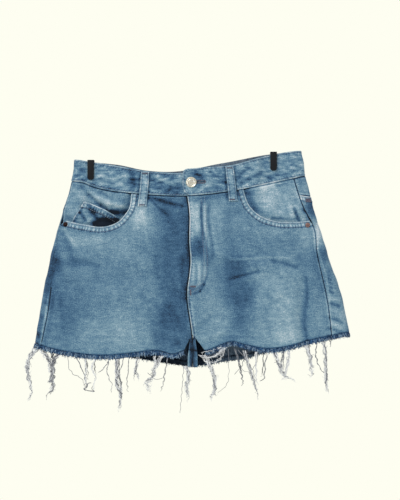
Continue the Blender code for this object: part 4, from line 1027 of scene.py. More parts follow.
@dataclass
class Piece:
    """A cloth piece: its cut, how far out it lies, and which of its edges are sewn how."""

    node: str
    outline: list
    ruling: str  # the setting that gives its grid
    outer: float = 0.0
    inner: float = -DENIM
    lift: object = None
    height: object = None  # turns a row of a strip into a height
    rows: int = 0  # how many rows a strip has
    double: tuple = ()  # edges with two lines of stitches
    single: tuple = ()  # edges with one
    joint: tuple = ()  # edges that run under another piece
    tone: float = 0.0
    # Crinkle also sets how strongly the tone paints the light and shade of small crumples
    crinkle: float = 0.12  # how crumpled, besides its creases
    hole: tuple = ()  # an outline that is cut out of it
    # Lines that darken or lighten the tone, mostly painted shade
    shades: tuple = ()
    folds: tuple = ()
    finish: str = "washed_denim"
    slot: str = "denim"

    def laid(self, share, z):
        """How far a place lies to the side of the piece's middle, in metres of cloth."""
        middle = np.mean([s for s, _ in self.outline])
        return unroll(share, z) - unroll(middle, z)

    def share_at(self, u, z):
        """The share of a place that lies that far to the side of the piece's middle."""
        middle = np.mean([s for s, _ in self.outline])
        return roll(u + unroll(middle, z), z)


def field(piece, runs, u, z):
    """For each place of the cloth, millimetres to the nearest sewn edge and along it."""
    nearest = np.full(np.shape(u), FAR)
    along = np.zeros(np.shape(u))
    for run in runs:
        share, height = np.array(run).T
        line = np.stack([piece.laid(share, height), height], axis=1) / MM
        gone = 0.0
        for a, b in zip(line[:-1], line[1:], strict=True):
            step = b - a
            reach = math.hypot(*step)
            t = np.clip(((u / MM - a[0]) * step[0] + (z / MM - a[1]) * step[1]) / reach**2, 0, 1)
            away = np.hypot(u / MM - a[0] - t * step[0], z / MM - a[1] - t * step[1])
            closer = away < nearest
            nearest = np.where(closer, away, nearest)
            along = np.where(closer, gone + t * reach, along)
            gone += reach
    return nearest, along


def relief(piece, share, z):
    """How far out a piece's outer face lies, and its distances to its sewn edges."""
    u = piece.laid(share, z)
    double, run = field(piece, piece.double, u, z)
    single, single_run = field(piece, piece.single, u, z)
    run = np.where(single < double, single_run, run)
    out = piece.outer + creases(share, z) + undulation(share, z) * (1 + 4 * piece.crinkle)
    if piece.lift is not None:
        out = out + piece.lift(share, z)
    out = out + lines(piece.folds, across_of(share, z), z) * MM
    lag = PUCKER_LAG * np.sin(math.tau * run / PUCKER_WANDER)
    pucker = np.sin(math.tau * run / PUCKER_LENGTH + lag)
    for away, (middle, reach, share_of) in ((double, DOUBLE_PUCKER), (single, SINGLE_PUCKER)):
        band = share_of * np.exp(-(((away - middle) / reach) ** 2))
        out = out + pucker * band * setting("shorts_cloth").pucker_depth
    out = out + DOUBLE_RAISE * ease((DOUBLE_WIDTH + 2 - double) / 2)
    return out, double, single, run


def rule(bm, axis, places):
    """Cuts straight lines across a flat piece, each only through what lies beyond the last."""
    beyond = bm.verts[:] + bm.edges[:] + bm.faces[:]
    across = Vector((0, 0, 0))
    across[axis] = 1
    for place in places:
        made = bmesh.ops.bisect_plane(bm, geom=beyond, dist=1e-7, plane_co=across * place,
                                      plane_no=across)["geom"]
        faces = [f for f in made if isinstance(f, bmesh.types.BMFace)
                 and f.calc_center_median()[axis] > place]
        edges = {e for f in faces for e in f.edges}
        verts = {v for f in faces for v in f.verts}
        beyond = [*verts, *edges, *faces]


def cut(piece):
    """A piece cut flat to its outline and ruled into a grid. Its outer face lies at y = 0 and
    its inner face one unit behind."""
    bm = bmesh.new()
    laid = [(np.interp(s, LAID_SHARES, LAID_PLACES), row) for s, row in piece.outline]
    bm.faces.new([bm.verts.new((x, 0, row)) for x, row in laid])
    ruling = getattr(setting("shorts_cloth"), piece.ruling)
    lows, highs = np.min(laid, axis=0), np.max(laid, axis=0)
    for axis, low, high, rows in zip((0, 2), lows, highs, (0, piece.rows), strict=True):
        rows = rows or max(2, round((high - low) / ruling))
        rule(bm, axis, np.linspace(low, high, rows + 1)[1:-1])
    bmesh.ops.remove_doubles(bm, verts=bm.verts[:], dist=ruling * 0.15)
    bmesh.ops.solidify(bm, geom=bm.faces[:], thickness=1)
    if piece.hole:
        bm = holed(bm, piece.hole)
    bm.normal_update()
    return bm


def holed(bm, hole):
    """The flat piece with an outline cut out through both of its faces."""
    cutter = extruded([(np.interp(s, LAID_SHARES, LAID_PLACES), -2, row) for s, row in hole],
                      (0, 4, 0))
    bmesh.ops.recalc_face_normals(bm, faces=bm.faces[:])
    flat, tool = (finished(name, made, "denim_reverse")
                  for name, made in (("flat_piece", bm), ("hole_cutter", cutter)))
    cut_out = flat.modifiers.new("hole", "BOOLEAN")
    cut_out.operation = "DIFFERENCE"
    cut_out.object = tool
    graph = bpy.context.evaluated_depsgraph_get()
    mesh = bpy.data.meshes.new_from_object(flat.evaluated_get(graph))
    made = bmesh.new()
    made.from_mesh(mesh)
    for used in (flat, tool):
        bpy.data.objects.remove(used)
    bpy.data.meshes.remove(mesh)
    return made


def extruded(outline, way):
    """A prism: a flat outline drawn out along a way."""
    bm = bmesh.new()
    face = bm.faces.new([bm.verts.new(place) for place in outline])
    grown = bmesh.ops.extrude_face_region(bm, geom=[face], use_keep_orig=True)["geom"]
    moved = [v for v in grown if isinstance(v, bmesh.types.BMVert)]
    bmesh.ops.translate(bm, verts=moved, vec=way)
    bmesh.ops.recalc_face_normals(bm, faces=bm.faces[:])
    return bm


def make_cloth(piece):
    """Cuts, drapes and dresses one cloth piece."""
    bm = cut(piece)
    flat = np.array([v.co for v in bm.verts])
    layer = np.abs(flat[:, 1])
    share = np.interp(flat[:, 0], LAID_PLACES, LAID_SHARES)
    z = flat[:, 2] if piece.height is None else piece.height(share, flat[:, 2])
    rim = np.zeros(len(flat))
    inside = []
    for face in bm.faces:
        if abs(face.normal.y) < 0.5:
            for vert in face.verts:
                rim[vert.index] = 1
        elif all(layer[vert.index] > 0.5 for vert in face.verts):
            inside.append(face.index)
    out, double, single, run = relief(piece, share, z)
    u = piece.laid(share, z)
    joint, _ = field(piece, piece.joint, u, z)
    out = out - rim * (1 - layer) * RIM_DROP + rim * layer * INNER_RIM_DROP
    out = out + (piece.inner - piece.outer) * layer
    places = drape(share, out, z)
    for vert, place in zip(bm.verts, places, strict=True):
        vert.co = place
    weave = bm.loops.layers.uv.new("weave")
    grain = np.stack([u, z], axis=1)
    for face in bm.faces:
        for loop in face.loops:
            loop[weave].uv = grain[loop.vert.index]
    x = across_of(share, z)
    # The tone: fading with painted light and shade, the piece's lines and folds (mostly painted
    # shade)
    faded = wash(share, z) + lines(piece.shades, x, z) + lines(piece.folds, x, z) * FOLD_WASH_AND_SHADE
    # Painted shade on the inner face, where the legs part
    faded = faded + layer * lines(INNER_SHADES, x, z)
    faded = faded * setting("shorts_cloth").fade + piece.tone
    bmesh.ops.recalc_face_normals(bm, faces=bm.faces[:])
    if bm.calc_volume(signed=True) < 0:
        bmesh.ops.reverse_faces(bm, faces=bm.faces[:])
    bm.faces.ensure_lookup_table()
    for index in inside:
        bm.faces[index].material_index = 1
    made = finished(f"{piece.node}_cloth", bm, piece.finish, "denim_reverse")
    for name, values in (("wash", faded), ("double_mm", double), ("single_mm", single),
                         ("joint_mm", joint), ("run_mm", run),
                         ("crinkle", np.full_like(z, piece.crinkle))):
        attribute = made.data.attributes.new(name, "FLOAT", "POINT")
        attribute.data.foreach_set("value", values.astype(np.float32))
    dresses(made, piece.node)
    return made


def finished(name, bm, *finishes, smooth_angle=40):
    """The piece as an object at the origin, shaded smooth, with its materials."""
    mesh = bpy.data.meshes.new(name)
    bm.to_mesh(mesh)
    bm.free()
    for finish in finishes:
        mesh.materials.append(FINISHES[finish](finish))
    mesh.shade_smooth()
    mesh.set_sharp_from_angle(angle=math.radians(smooth_angle))
    return new_object(name, mesh)


def new_object(name, data):
    """An object in the scene, at the origin."""
    made = bpy.data.objects.new(name, data)
    bpy.context.scene.collection.objects.link(made)
    return made


def dresses(made, node):
    """Attaches a piece to the root and hides the solid that it stands for."""
    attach(made, "root")
    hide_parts(node)


def flat_size(piece):
    """The width, length and area that a piece is cut to."""
    share, row = np.array(piece.outline).T
    z = row if piece.height is None else piece.height(share, row)
    u = piece.laid(share, z)
    area = abs(float(np.dot(u, np.roll(z, 1)) - np.dot(z, np.roll(u, 1)))) / 2
    width, tall = float(np.ptp(u)), float(np.ptp(z))
    if piece.height is not None:
        tall = area / width
    return (width, tall), area


def hung(piece, rests_on, *frayed):
    """Makes a cloth piece with its frayed strips and works out the size and area it was cut to.
    What it rests on is not used.
    """
    made, strips = make_cloth(piece), [make_cloth(strip) for strip in frayed]
    size, area = flat_size(piece)


# ---------------------------------------------------------------- the pieces

def fly_level(z):
    """1 along the fly and 0 below it."""
    return ease((z - FLY_BOTTOM + FLY_RUN_OUT) / FLY_RUN_OUT)


def fly_lift(share, z):
    """The wearer's left front rises over the right one along the fly."""
    away = across_of(share, z) - down_line(FLY_EDGE, z, MM)
    return FLY_LIFT * fly_level(z) * ease(1 - (away - FLY_UNDERLAP) / (FLY_WIDTH - FLY_UNDERLAP))


def fly_tuck(share, z):
    """The wearer's right front sinks under the fly."""
    away = across_of(share, z) - down_line(FLY_EDGE, z, MM)
    return -FLY_TUCK * fly_level(z) * ease((away + FLY_TUCK_REACH) / (FLY_TUCK_REACH - 1 * MM))


def front_piece(side):
    """A front, from its pocket mouth to the middle seam and down to the hem."""
    gap, hem = SEAM_GAP / 2, FRAY + SEAM_GAP
    seam, mouth = side_seam(side, 1), curve(MOUTH[side])
    side_run = along_down(seam, SIDE_RUN_FOOT, SEAM_SHOWS[side], RUN_STEP)
    if side == "right":
        under, middle = middle_seam(-1, FLY_UNDERLAP), middle_seam(-1)
        waist = crossing(BAND_BOTTOM, under, -gap)
        top = float(round_line(BAND_BOTTOM, waist)) - gap
        edge = joined(along_down(under, top, FLY_BOTTOM),
                      along_down(middle, FLY_BOTTOM - FLY_STEP, BRIDGE_BOTTOM))
        lower_seam = along_down(middle, FLY_BOTTOM, BRIDGE_BOTTOM, RUN_STEP)
        edge_run = along_down(middle, top, FLY_BOTTOM, RUN_STEP)
        single, joint, lift = (), (edge_run, lower_seam), fly_tuck
    else:
        waist = crossing(BAND_BOTTOM, middle_seam(1), -gap)
        top = float(round_line(BAND_BOTTOM, waist)) - gap
        edge = along_down(middle_seam(1), top, BRIDGE_BOTTOM)
        single, joint, lift = (along_down(middle_seam(1), top, NOTCH_TOP, RUN_STEP),), (), fly_lift
    raw = along_round(HEM, NOTCH_SHARE[side], crossing(HEM, seam, hem), hem)
    outline = joined(
        along_round(BAND_BOTTOM, mouth[0][0], edge[0][0], -gap),
        edge,
        bridge_points(side),
        raw,
        along_down(seam, raw[-1][1], MOUTH_END),
        mouth[-2:0:-1],
    )
    waist_run = along_round(BAND_BOTTOM, mouth[0][0], edge[0][0], -gap, RUN_STEP)
    return Piece(
        f"front_panel_{side}", outline, "front_ruling", lift=lift,
        double=(mouth[::3],), single=single, joint=(waist_run, side_run, *joint),
        shades=CROTCH_SHADES + FLY_SHADES[side],
    )


def back_piece(side):
    """A back, from below the yoke to the hem."""
    gap, hem = SEAM_GAP / 2, FRAY + SEAM_GAP
    first, last = back_ends(side)
    top = between(YOKE_BOTTOM, first, last, -gap)
    raw = between(HEM, last, first, hem)
    outline = joined(top, along_down(last, top[-1][1], raw[0][1]), raw,
                     along_down(first, raw[-1][1], top[0][1])[:-1])
    middle, foot = (last, raw[0][1]) if side == "left" else (first, raw[-1][1])
    middle_run = along_down(middle, top[-1 if side == "left" else 0][1], foot, RUN_STEP)
    return Piece(
        f"back_panel_{side}", outline, "back_ruling",
        double=(top[::2], middle_run) if side == "left" else (top[::2],),
        joint=() if side == "left" else (middle_run,), shades=SIDE_SHADES[side],
    )


def back_ends(side):
    """The seams where a back and its yoke begin and end."""
    if side == "left":
        return side_seam("left", -1), back_seam(-1)
    return back_seam(1), from_behind(side_seam("right", -1))


def yoke_piece(side):
    """A yoke, between the waistband and its back."""
    gap = SEAM_GAP / 2
    first, last = back_ends(side)
    waist = between(BAND_BOTTOM, first, last, -gap)
    foot = between(YOKE_BOTTOM, last, first, gap)
    left = side == "left"
    low, high = (foot[0][1], waist[-1][1]) if left else (foot[-1][1], waist[0][1])
    middle_run = along_down(last if left else first, high, low, RUN_STEP)
    return Piece(
        f"yoke_{side}", joined(waist, foot), "back_ruling",
        double=(middle_run,) if left else (), joint=(waist[::2], foot[::2]),
    )


def band_height(share, row):
    """The waistband's rows run from its lower edge, 0, to its top, 1."""
    low = round_line(BAND_BOTTOM, share) + SEAM_GAP / 2
    return low + (round_line(BAND_TOP, share) - low) * row


def band_lift(share, z):
    """The tab's end rises over the other end, which sinks under it."""
    x = across_of(share, z)
    over = TAB_LIFT * ease(1 - (x - BAND_UNDERLAP_END - 1 * MM) / TAB_RUN_OUT)
    under = -BAND_TUCK * ease((x - BAND_TUCK_START) / BAND_TUCK_REACH)
    return np.where(share < 1, over, np.where(share > 2, under, 0))


def waistband_piece():
    """One strip round the waist, from the tab on the front to the end that lies under it."""
    start = float(front(TAB_END, BAND_MIDDLE))
    end = 2 + float(front(BAND_UNDERLAP_END, BAND_MIDDLE))
    corner = TAB_CORNER / (body("right", BAND_MIDDLE) - body("left", BAND_MIDDLE))
    tab = [(start + corners * float(corner), row) for corners, row in TAB_SHAPE]
    outline = [*tab, (end, 1), (end, 0)]
    shares = np.interp(
        np.arange(float(unroll(tab[0][0], LAID_LEVEL)), float(unroll(end, LAID_LEVEL)), RUN_STEP),
        LAID_PLACES, LAID_SHARES,
    )
    runs = tuple([(float(s), float(band_height(s, row))) for s in shares] for row in (0, 1))
    tab_run = [(s, float(band_height(s, row))) for s, row in tab]
    return Piece("waistband", outline, "front_ruling", BAND_OUTER,
                 BAND_INNER, band_lift, band_height, rows=22, single=(*runs, tab_run), crinkle=0.44,
                 hole=tuple(keyhole()), tone=0.04)


def keyhole():
    """The buttonhole's outline, an eye with a slit, as (share, row) points of the waistband."""
    half = BUTTONHOLE_WIDTH / 2
    opening = math.asin(half / EYE_RADIUS)
    points = [(EYE_RADIUS * math.cos(a), EYE_RADIUS * math.sin(a))
              for a in np.linspace(opening, math.tau - opening, 16)]
    long = BUTTONHOLE_END - BUTTON.across
    points += [(long + half * math.cos(a), half * math.sin(a))
               for a in np.linspace(-math.pi / 2, math.pi / 2, 7)]
    outline = []
    for x, z in points:
        x, z = BUTTON.across + x, BUTTON.height + BUTTONHOLE_RISE + z
        share = float(front(x, z))
        low, high = band_height(share, 0), band_height(share, 1)
        outline.append((share, float((z - low) / (high - low))))
    return outline


def mouth_height(mouth, x):
    """The height of a pocket mouth's edge at a place across: none past its upper end."""
    line = np.array(mouth[::-1]) * MM
    inward = np.sign(line[-1, 0] - line[0, 0])
    height = np.interp(x * inward, line[:, 0] * inward, line[:, 1])
    return np.where((x - line[-1, 0]) * inward > 0, np.inf, height)


def pocket_depth(side):
    """How far behind the panel's face a pocket's facing and bag lie."""
    mouth = MOUTH[side]

    def lift(share, z):
        x = across_of(share, z)
        above = np.where(z < mouth_height(mouth, x), 0, past(mouth, x, z))
        deep = FACING_DEEP[side] * ease(1 - above / FACING_EASE)
        for gape in GAPES[side]:
            away = ((x / MM - gape.across) / gape.reach_across) ** 2
            away += ((z / MM - gape.height) / gape.reach_down) ** 2
            deep = deep + gape.depth * MM * np.exp(-away)
        return -deep

    return lift


def facing_piece(side):
    """The denim facing that shows in a pocket's mouth."""
    gap = SEAM_GAP / 2
    seam, lower = side_seam(side, 1), curve(FACING[side])
    waist = along_round(BAND_BOTTOM, lower[0][0], crossing(BAND_BOTTOM, seam, -gap), -gap)
    side_run = along_down(seam, waist[-1][1], lower[-1][1] + gap)
    outline = joined(waist, side_run, [(s, z + gap) for s, z in lower[-2:0:-1]])
    return Piece(
        f"pocket_facing_{side}", outline, "front_ruling",
        lift=pocket_depth(side), joint=(waist[::2], side_run[::2]),
        tone=FACING_TONE[side], crinkle=0.2, shades=FACING_SHADES[side], folds=FACING_FOLDS[side],
    )


def bag_piece(side):
    """The cotton pocket bag that hangs from a facing, closed against the front."""
    lower = curve(FACING[side])
    bag = curve(BAG[side])
    count = int(BAG_HANGS_FROM * CURVE_STEPS)
    hung_from = [(s, z - BAG_GAP) for s, z in lower[-count:]]
    return Piece(
        f"pocket_bag_{side}", joined(hung_from, bag[::-1]), "back_ruling",
        -BAG_DEEPER, -BAG_DEEPER - COTTON, pocket_depth(side), finish="pocket_cotton",
        slot="cotton",
    )


def coin_piece():
    """The coin pocket on the wearer's right facing, its mouth standing off like a lip."""
    behind = pocket_depth("right")

    def on_facing(share, z):
        mouth = past(COIN_POCKET[1:5], across_of(share, z), z)
        return behind(share, z) + COIN_MOUTH_STAND * ease(1 - mouth / COIN_MOUTH_REACH)

    corners = [(float(front(x * MM, z * MM)), z * MM) for x, z in COIN_POCKET]
    return Piece(
        "coin_pocket", corners, "small_ruling", DENIM + PATCH_GAP,
        PATCH_GAP, on_facing, double=(corners[1:5],), single=(corners[0:2],), tone=0.12,
        crinkle=0.3, shades=COIN_SHADES, folds=COIN_FOLDS,
    )


def back_pocket_piece(side):
    """A plain patch pocket on a back."""
    corners = [(x * MM, z * MM) for x, z in BACK_POCKET]
    if side == "left":
        corners = [(BACK_POCKET_SHIFT - x, z) for x, z in corners]
    middle = sum(x for x, _ in corners) / len(corners)

    def stand(share, z):
        away = np.abs(across_of(share, z) - middle) / BACK_POCKET_REACH
        rise = ease((z - BACK_POCKET_LEVEL) / BACK_POCKET_RISE)
        return BACK_POCKET_STAND * ease(1 - away) * rise

    outline = [(float(back(x, z)), z) for x, z in corners]
    return Piece(
        f"back_pocket_{side}", outline, "back_ruling", DENIM + PATCH_GAP,
        PATCH_GAP, stand, double=((*outline[1:], outline[0]), outline[0:2]), tone=0.02,
    )


def loop_piece(loop):
    """A belt loop, sewn at the waistband's top and just below it."""
    top = float(round_line(BAND_TOP, loop.share)) - LOOP_BELOW_TOP
    foot = top - LOOP_LENGTH
    seam = float(round_line(BAND_BOTTOM, loop.share))
    width = float(body("right", top) - body("left", top))
    half = LOOP_WIDTH / 2 / width
    low = loop.share + loop.lean * MM / width
    outline = [(loop.share - half, top), (loop.share + half, top), (low + half, foot),
               (low - half, foot)]

    def stand(share, z):
        on_band = ease((z - seam + LOOP_STEP) / LOOP_STEP)
        bowed = np.sin(np.pi * np.clip((z - seam) / (top - seam), 0, 1))
        return on_band * (BAND_OUTER + band_lift(share, z)) + LOOP_STAND * bowed

    return Piece(
        loop.name, outline, "small_ruling", DENIM + PATCH_GAP, PATCH_GAP,
        stand, single=((outline[0], outline[3]), (outline[1], outline[2])), tone=0.26, crinkle=0.3,
    )


def strip_ends(side, face):
    """The shares where one leg's frayed strip begins and ends, in front or behind."""
    if face == "front":
        seam = crossing(HEM, side_seam(side, 1))
        return tuple(sorted((seam, NOTCH_SHARE[side])))
    middle = crossing(HEM, back_seam(0))
    if side == "left":
        return crossing(HEM, side_seam("left", -1)), middle - STRIP_GAP
    return middle + STRIP_GAP, crossing(HEM, from_behind(side_seam("right", -1)))


def strip_height(share, row):
    """The frayed strip's rows run from the ragged edge, 0, to where the cloth is whole, 1."""
    u = unroll(share, np.full_like(np.asarray(share, float), HEM_LEVEL)) / MM
    ragged = sum(high * np.sin(u * turn + lag) for high, turn, lag in RAGGED) - RAGGED_DROP
    return round_line(HEM, share) + (FRAY + FRAY_LAP) * row + ragged * MM * (1 - row)


def strip_lift(share, z):
    """The strip's upper edge lies behind the cloth that it frays from."""
    return -FRAY_TUCK * ease((z - round_line(HEM, share) - FRAY + FRAY_LAP) / FRAY_LAP)


def strip_piece(side, face):
    """The frayed strip along one leg's hem."""
    start, end = strip_ends(side, face)
    return Piece(
        f"frayed_hem_{face}_{side}", [(start, 0), (end, 0), (end, 1), (start, 1)], "strip_ruling",
        -0.2 * MM, -1.2 * MM, strip_lift, strip_height, rows=8, finish="frayed_edge",
        slot="frayed",
    )


# ---------------------------------------------------------------- threads

def spun_threads(name, runs, finish):
    """One mesh of many threads, each a tube along its points with its own taper and shade."""
    threads = setting("shorts_threads")
    data = bpy.data.curves.new(name, "CURVE")
    data.dimensions = "3D"
    data.bevel_depth = threads.yarn_radius if "yarn" in finish else threads.stitch_radius
    data.bevel_resolution = 0
    data.use_fill_caps = True
    for points, taper, _ in runs:
        spline = data.splines.new("POLY")
        spline.points.add(len(points) - 1)
        spline.points.foreach_set("co", np.c_[points, np.ones(len(points))].ravel())
        spline.points.foreach_set("radius", np.asarray(taper, float))
    tubes = bpy.data.objects.new(name, data)
    mesh = bpy.data.meshes.new_from_object(tubes)
    bpy.data.objects.remove(tubes)
    bpy.data.curves.remove(data)
    mesh.name = name
    shades = np.array([shade for *_, shade in runs])
    along = np.repeat(shades, [THREAD_SIDES * len(points) for points, *_ in runs])
    caps = np.repeat(shades[::-1], 2 * THREAD_SIDES)  # come first, from the last thread back
    shade = mesh.attributes.new("shade", "FLOAT", "POINT")
    shade.data.foreach_set("value", np.concatenate([caps, along]))
    mesh.materials.clear()
    mesh.materials.append(FINISHES[finish](finish))
    mesh.shade_smooth()
    made = new_object(name, mesh)
    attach(made, "root")


def offset_run(piece, run, distance):
    """A run of (share, height) points moved sideways on the cloth, as points 1 mm apart."""
    share, z = np.array(run).T
    line = np.stack([piece.laid(share, z), z], axis=1)
    gone = np.concatenate([[0], np.cumsum(np.hypot(*np.diff(line, axis=0).T))])
    at = np.arange(0, gone[-1], 1 * MM)
    fine = np.stack([np.interp(at, gone, line[:, k]) for k in (0, 1)], axis=1)
    way = np.gradient(fine, axis=0)
    way /= np.linalg.norm(way, axis=1, keepdims=True)
    return fine + distance * np.stack([-way[:, 1], way[:, 0]], axis=1)


def sewn(piece, run, distance, start=0.0, end=0.0):
    """Stitches along a line beside one of a piece's edges, each arched out of the cloth."""
    threads = setting("shorts_threads")
    line = offset_run(piece, run, distance)
    gone = np.concatenate([[0], np.cumsum(np.hypot(*np.diff(line, axis=0).T))])
    firsts = np.arange(start, gone[-1] - end - threads.stitch, threads.pitch)
    way, arch, taper = STITCH
    at = (firsts[:, None] + np.array(way) * threads.stitch).ravel()
    u, z = (np.interp(at, gone, line[:, k]) for k in (0, 1))
    share = piece.share_at(u, z)
    out = relief(piece, share, z)[0]
    places = drape(share, out + np.tile(arch, len(firsts)) * MM, z).reshape(-1, 4, 3)
    shades = np.random.default_rng(len(places)).uniform(0.2, 0.8, len(places))
    return [(place, taper, shade) for place, shade in zip(places, shades, strict=True)]


def sewn_twice(piece, edges, hand, start, end):
    """Two lines of stitches beside each of a piece's edges."""
    return [stitch for distance in DOUBLE_LINES for edge in edges
            for stitch in sewn(piece, edge, hand * distance, start, end)]


def satin(piece, share, z, out, shade):
    """One of the straight stitches of a dense block, from one place to another."""
    return drape(share, relief(piece, share, z)[0] + out, z), SATIN_TAPER, shade


def bar_tack(piece, across, height, wide, tall, place=front):
    """A dense block of satin stitches, wider than tall or taller than wide."""
    steps = int(max(wide, tall) / SATIN_PITCH)
    runs = []
    for k in range(steps):
        ends = np.array([(k + 0.5) / steps - 0.5] * 2), np.array([-0.5, 0.5])
        x, z = ends if wide > tall else ends[::-1]
        z = z * tall + height
        runs.append(satin(piece, place(x * wide + across, z), z, BAR_TACK_OUT, 0.5))
    return runs


def hanging(lock, rng, face):
    """The threads of one lock, in strands that twist about each other: rooted apart, gathered
    along its way, kinked, and frizzy with broken fibres."""
    route = np.array(lock.route, float).reshape(-1, 2) * MM
    table = [list(enumerate(column)) for column in route.T]
    reach = np.hypot(*np.diff(route, axis=0).T).sum()
    place = front if face == "front" else back
    depth = drape(place(route[0, 0], route[0, 1]), -0.7 * MM, route[0, 1])[1]
    kink = lock.curl * 1.5 * MM
    runs = []
    for k in range(lock.threads):
        if k % STRAND_THREADS == 0:
            root, phase = rng.uniform(-1, 1), rng.uniform(0, math.tau)
            turn = rng.choice((-1, 1)) * rng.uniform(1, 2) * reach / TWIST_LENGTH
            girth = lock.body * MM * rng.uniform(0.5, 1.0)
            # In thick locks the darker strands paint the shade between the threads
            shade = rng.uniform(0.0, 1.6) if lock.threads > 4 else rng.uniform(0, 0.3)
            waves, swings = rng.uniform(6, 16, 2), rng.uniform(0, math.tau, (2, 3))
        stop = rng.uniform(0.55, 1.0) if lock.threads > 1 else 1.0
        t = np.linspace(0, stop, max(6, int(reach * stop / (1.8 * MM))))
        x, z = (smooth(t * (len(route) - 1), points) for points in table)
        apart = lock.roots * MM * (1 - np.clip(t / 0.35, 0, 1)) ** 1.4
        x = x + (root + rng.normal(0, 0.15)) * apart
        twist = phase + turn * t
        own = rng.uniform(0, math.tau) + 2.5 * twist
        gathered = np.clip(t / 0.25, 0, 1)
        spread = STRAND_RADIUS * rng.uniform(0.4, 1.3)
        x = x + (girth * np.cos(twist) + spread * np.cos(own)) * gathered
        y = depth + (girth * np.sin(twist) + spread * np.sin(own)) * gathered
        for wave, (swing, lag, tilt) in zip(
                (*waves, rng.uniform(3, 6)), (*swings, rng.uniform(0, math.tau, 3)), strict=True):
            along = t * reach / (wave * MM) * math.tau
            sway = kink * wave / 22 * np.clip(t / 0.1, 0, 1)
            x = x + sway * np.cos(tilt) * np.sin(along + swing)
            y = y + sway * np.sin(tilt) * np.sin(along + lag)
            z = z + sway * 0.6 * np.sin(along * 0.9 + tilt)
        thick = np.linspace(1.1, 0.75, len(t)) * rng.uniform(0.8, 1.3)
        points = np.stack([x, y, z], axis=1)
        runs.append((points, thick, shade + rng.normal(0, 0.08)))
        if lock.threads > 4:
            for start in rng.choice(points[2:], len(points) // 6):
                bend = rng.normal(0, 1, (2, 3)) * (1.4 * MM, 1.0 * MM, 1.8 * MM)
                fibre = start + np.array([(0, 0, 0), bend[0], bend[0] + bend[1]])
                runs.append((fibre, (0.6, 0.55, 0.4), shade))
    return runs


def short_ends(side, face, rng):
    """The dense short ends that stand out of one leg's frayed strip."""
    start, end = strip_ends(side, face)
    first, last = unroll(start, HEM_LEVEL), unroll(end, HEM_LEVEL)
    runs = []
    for place in np.arange(first + 0.6 * MM, last - 0.6 * MM, 0.5 * MM):
        share = float(roll(place + rng.normal(0, 0.3) * MM, HEM_LEVEL))
        low = float(round_line(HEM, share))
        high = low + rng.uniform(1.0, FRAY / MM) * MM
        foot = low - (1.0 + abs(rng.normal(0.5, 1.5))) * MM
        out = np.array([-0.1, 0.25, 0.1, rng.normal(-0.6, 0.8)]) * MM
        lean = share + np.linspace(0, rng.normal(0, 0.0042), 4)
        points = drape(lean, out, np.linspace(high, foot, 4))
        runs.append((points, (0.9, 1.1, 1.1, 0.7), rng.uniform(0.0, 0.85)))
    return runs


# ---------------------------------------------------------------- materials

def add_node(tree, kind, inputs=(), output=0, stops=None, **settings):
    """Adds a node with its settings, its inputs by name or in their order, and a ramp's stops.
    Gives the output asked for."""
    made = tree.nodes.new(f"ShaderNode{kind}")
    for name, value in settings.items():
        setattr(made, name, value)
    feed(made, inputs if isinstance(inputs, dict) else dict(enumerate(inputs)))
    if stops:
        ramp = made.color_ramp
        while len(ramp.elements) < len(stops):
            ramp.elements.new(1.0)
        for element, (place, value) in zip(ramp.elements, stops, strict=True):
            element.position = place
            element.color = value if hasattr(value, "__len__") else (value, value, value, 1)
    return made.outputs[output]


def feed(node, inputs):
    """Sets a node's inputs to values, or links them to other nodes' outputs."""
    for name, value in inputs.items():
        if isinstance(value, bpy.types.NodeSocket):
            node.id_data.links.new(value, node.inputs[name])
        else:
            node.inputs[name].default_value = value


def new_material(name, **values):
    """A Principled material with its constant values. Gives it and its tree."""
    made = bpy.data.materials.new(name)
    made.use_nodes = True
    feed(made.node_tree.nodes[SHADER], {k.replace("_", " "): v for k, v in values.items()})
    return made, made.node_tree


def coloured(made, tone, stops, **linked):
    """Colours a material by a tone, through a ramp, and leads other outputs to its sockets."""
    shown = add_node(made.node_tree, "ValToRGB", (tone,), stops=stops)
    feed(made.node_tree.nodes[SHADER], {"Base Color": shown, **linked})
    return made


def pattern(tree, place, size, detail, roughness=0.5):
    """Adds noise whose grain has a size in millimetres along two or three axes."""
    scale = [1 / (s * MM) for s in (*size, 1)][:3]
    scaled = add_node(tree, "Mapping", {"Vector": place, "Scale": scale})
    grain = {"Vector": scaled, "Scale": 1.0, "Detail": detail, "Roughness": roughness}
    return add_node(tree, "TexNoise", grain, noise_dimensions=f"{len(size)}D")


def waves(tree, along, wave, lag=0.0):
    """Adds a sine of a measure, its wave as long as given and lagging by a turn."""
    turn = add_node(tree, "Math", (along, math.tau / wave, lag), operation="MULTIPLY_ADD")
    return add_node(tree, "Math", (turn,), operation="SINE")


# How strongly the cloth's grain shows: across and along the warp in millimetres, detail and
# strength. Real slubs are 0.5 mm wide and are drawn two to four times as coarse, to show.
DENIM_GRAIN = ((1.2, 1.9, 3.0, 0.84), (2.0, 14.0, 2.0, 0.14), (6.5, 2.2, 2.0, 0.24),
               (8.0, 10.0, 3.0, 0.2), (30.0, 38.0, 2.0, 0.2))
# The frayed strip's grain: across, deep and high in millimetres, detail and strength
FRAY_GRAIN = ((1.4, 1.4, 2.4, 2.0, 2.4), (3.0, 3.0, 2.2, 2.0, 1.8), (14.0, 14.0, 8.0, 2.0, 0.4))
# Tone noise that paints the light and shade of small crumples
CRINKLE = ((15.0, 5.0), 3.0)  # millimetres across and down, and detail
CRINKLE_TONE = 1.95
MID_TONE = 0.52  # where the even mid wash lies between indigo, 0, and worn white, 1
TWILL = 2.1  # millimetres from one diagonal to the next; real twill has 0.6, too fine to show
TWILL_TURN = math.radians(-28)
TWILL_TONE = 0.025
SEAM_REACH = 14.0
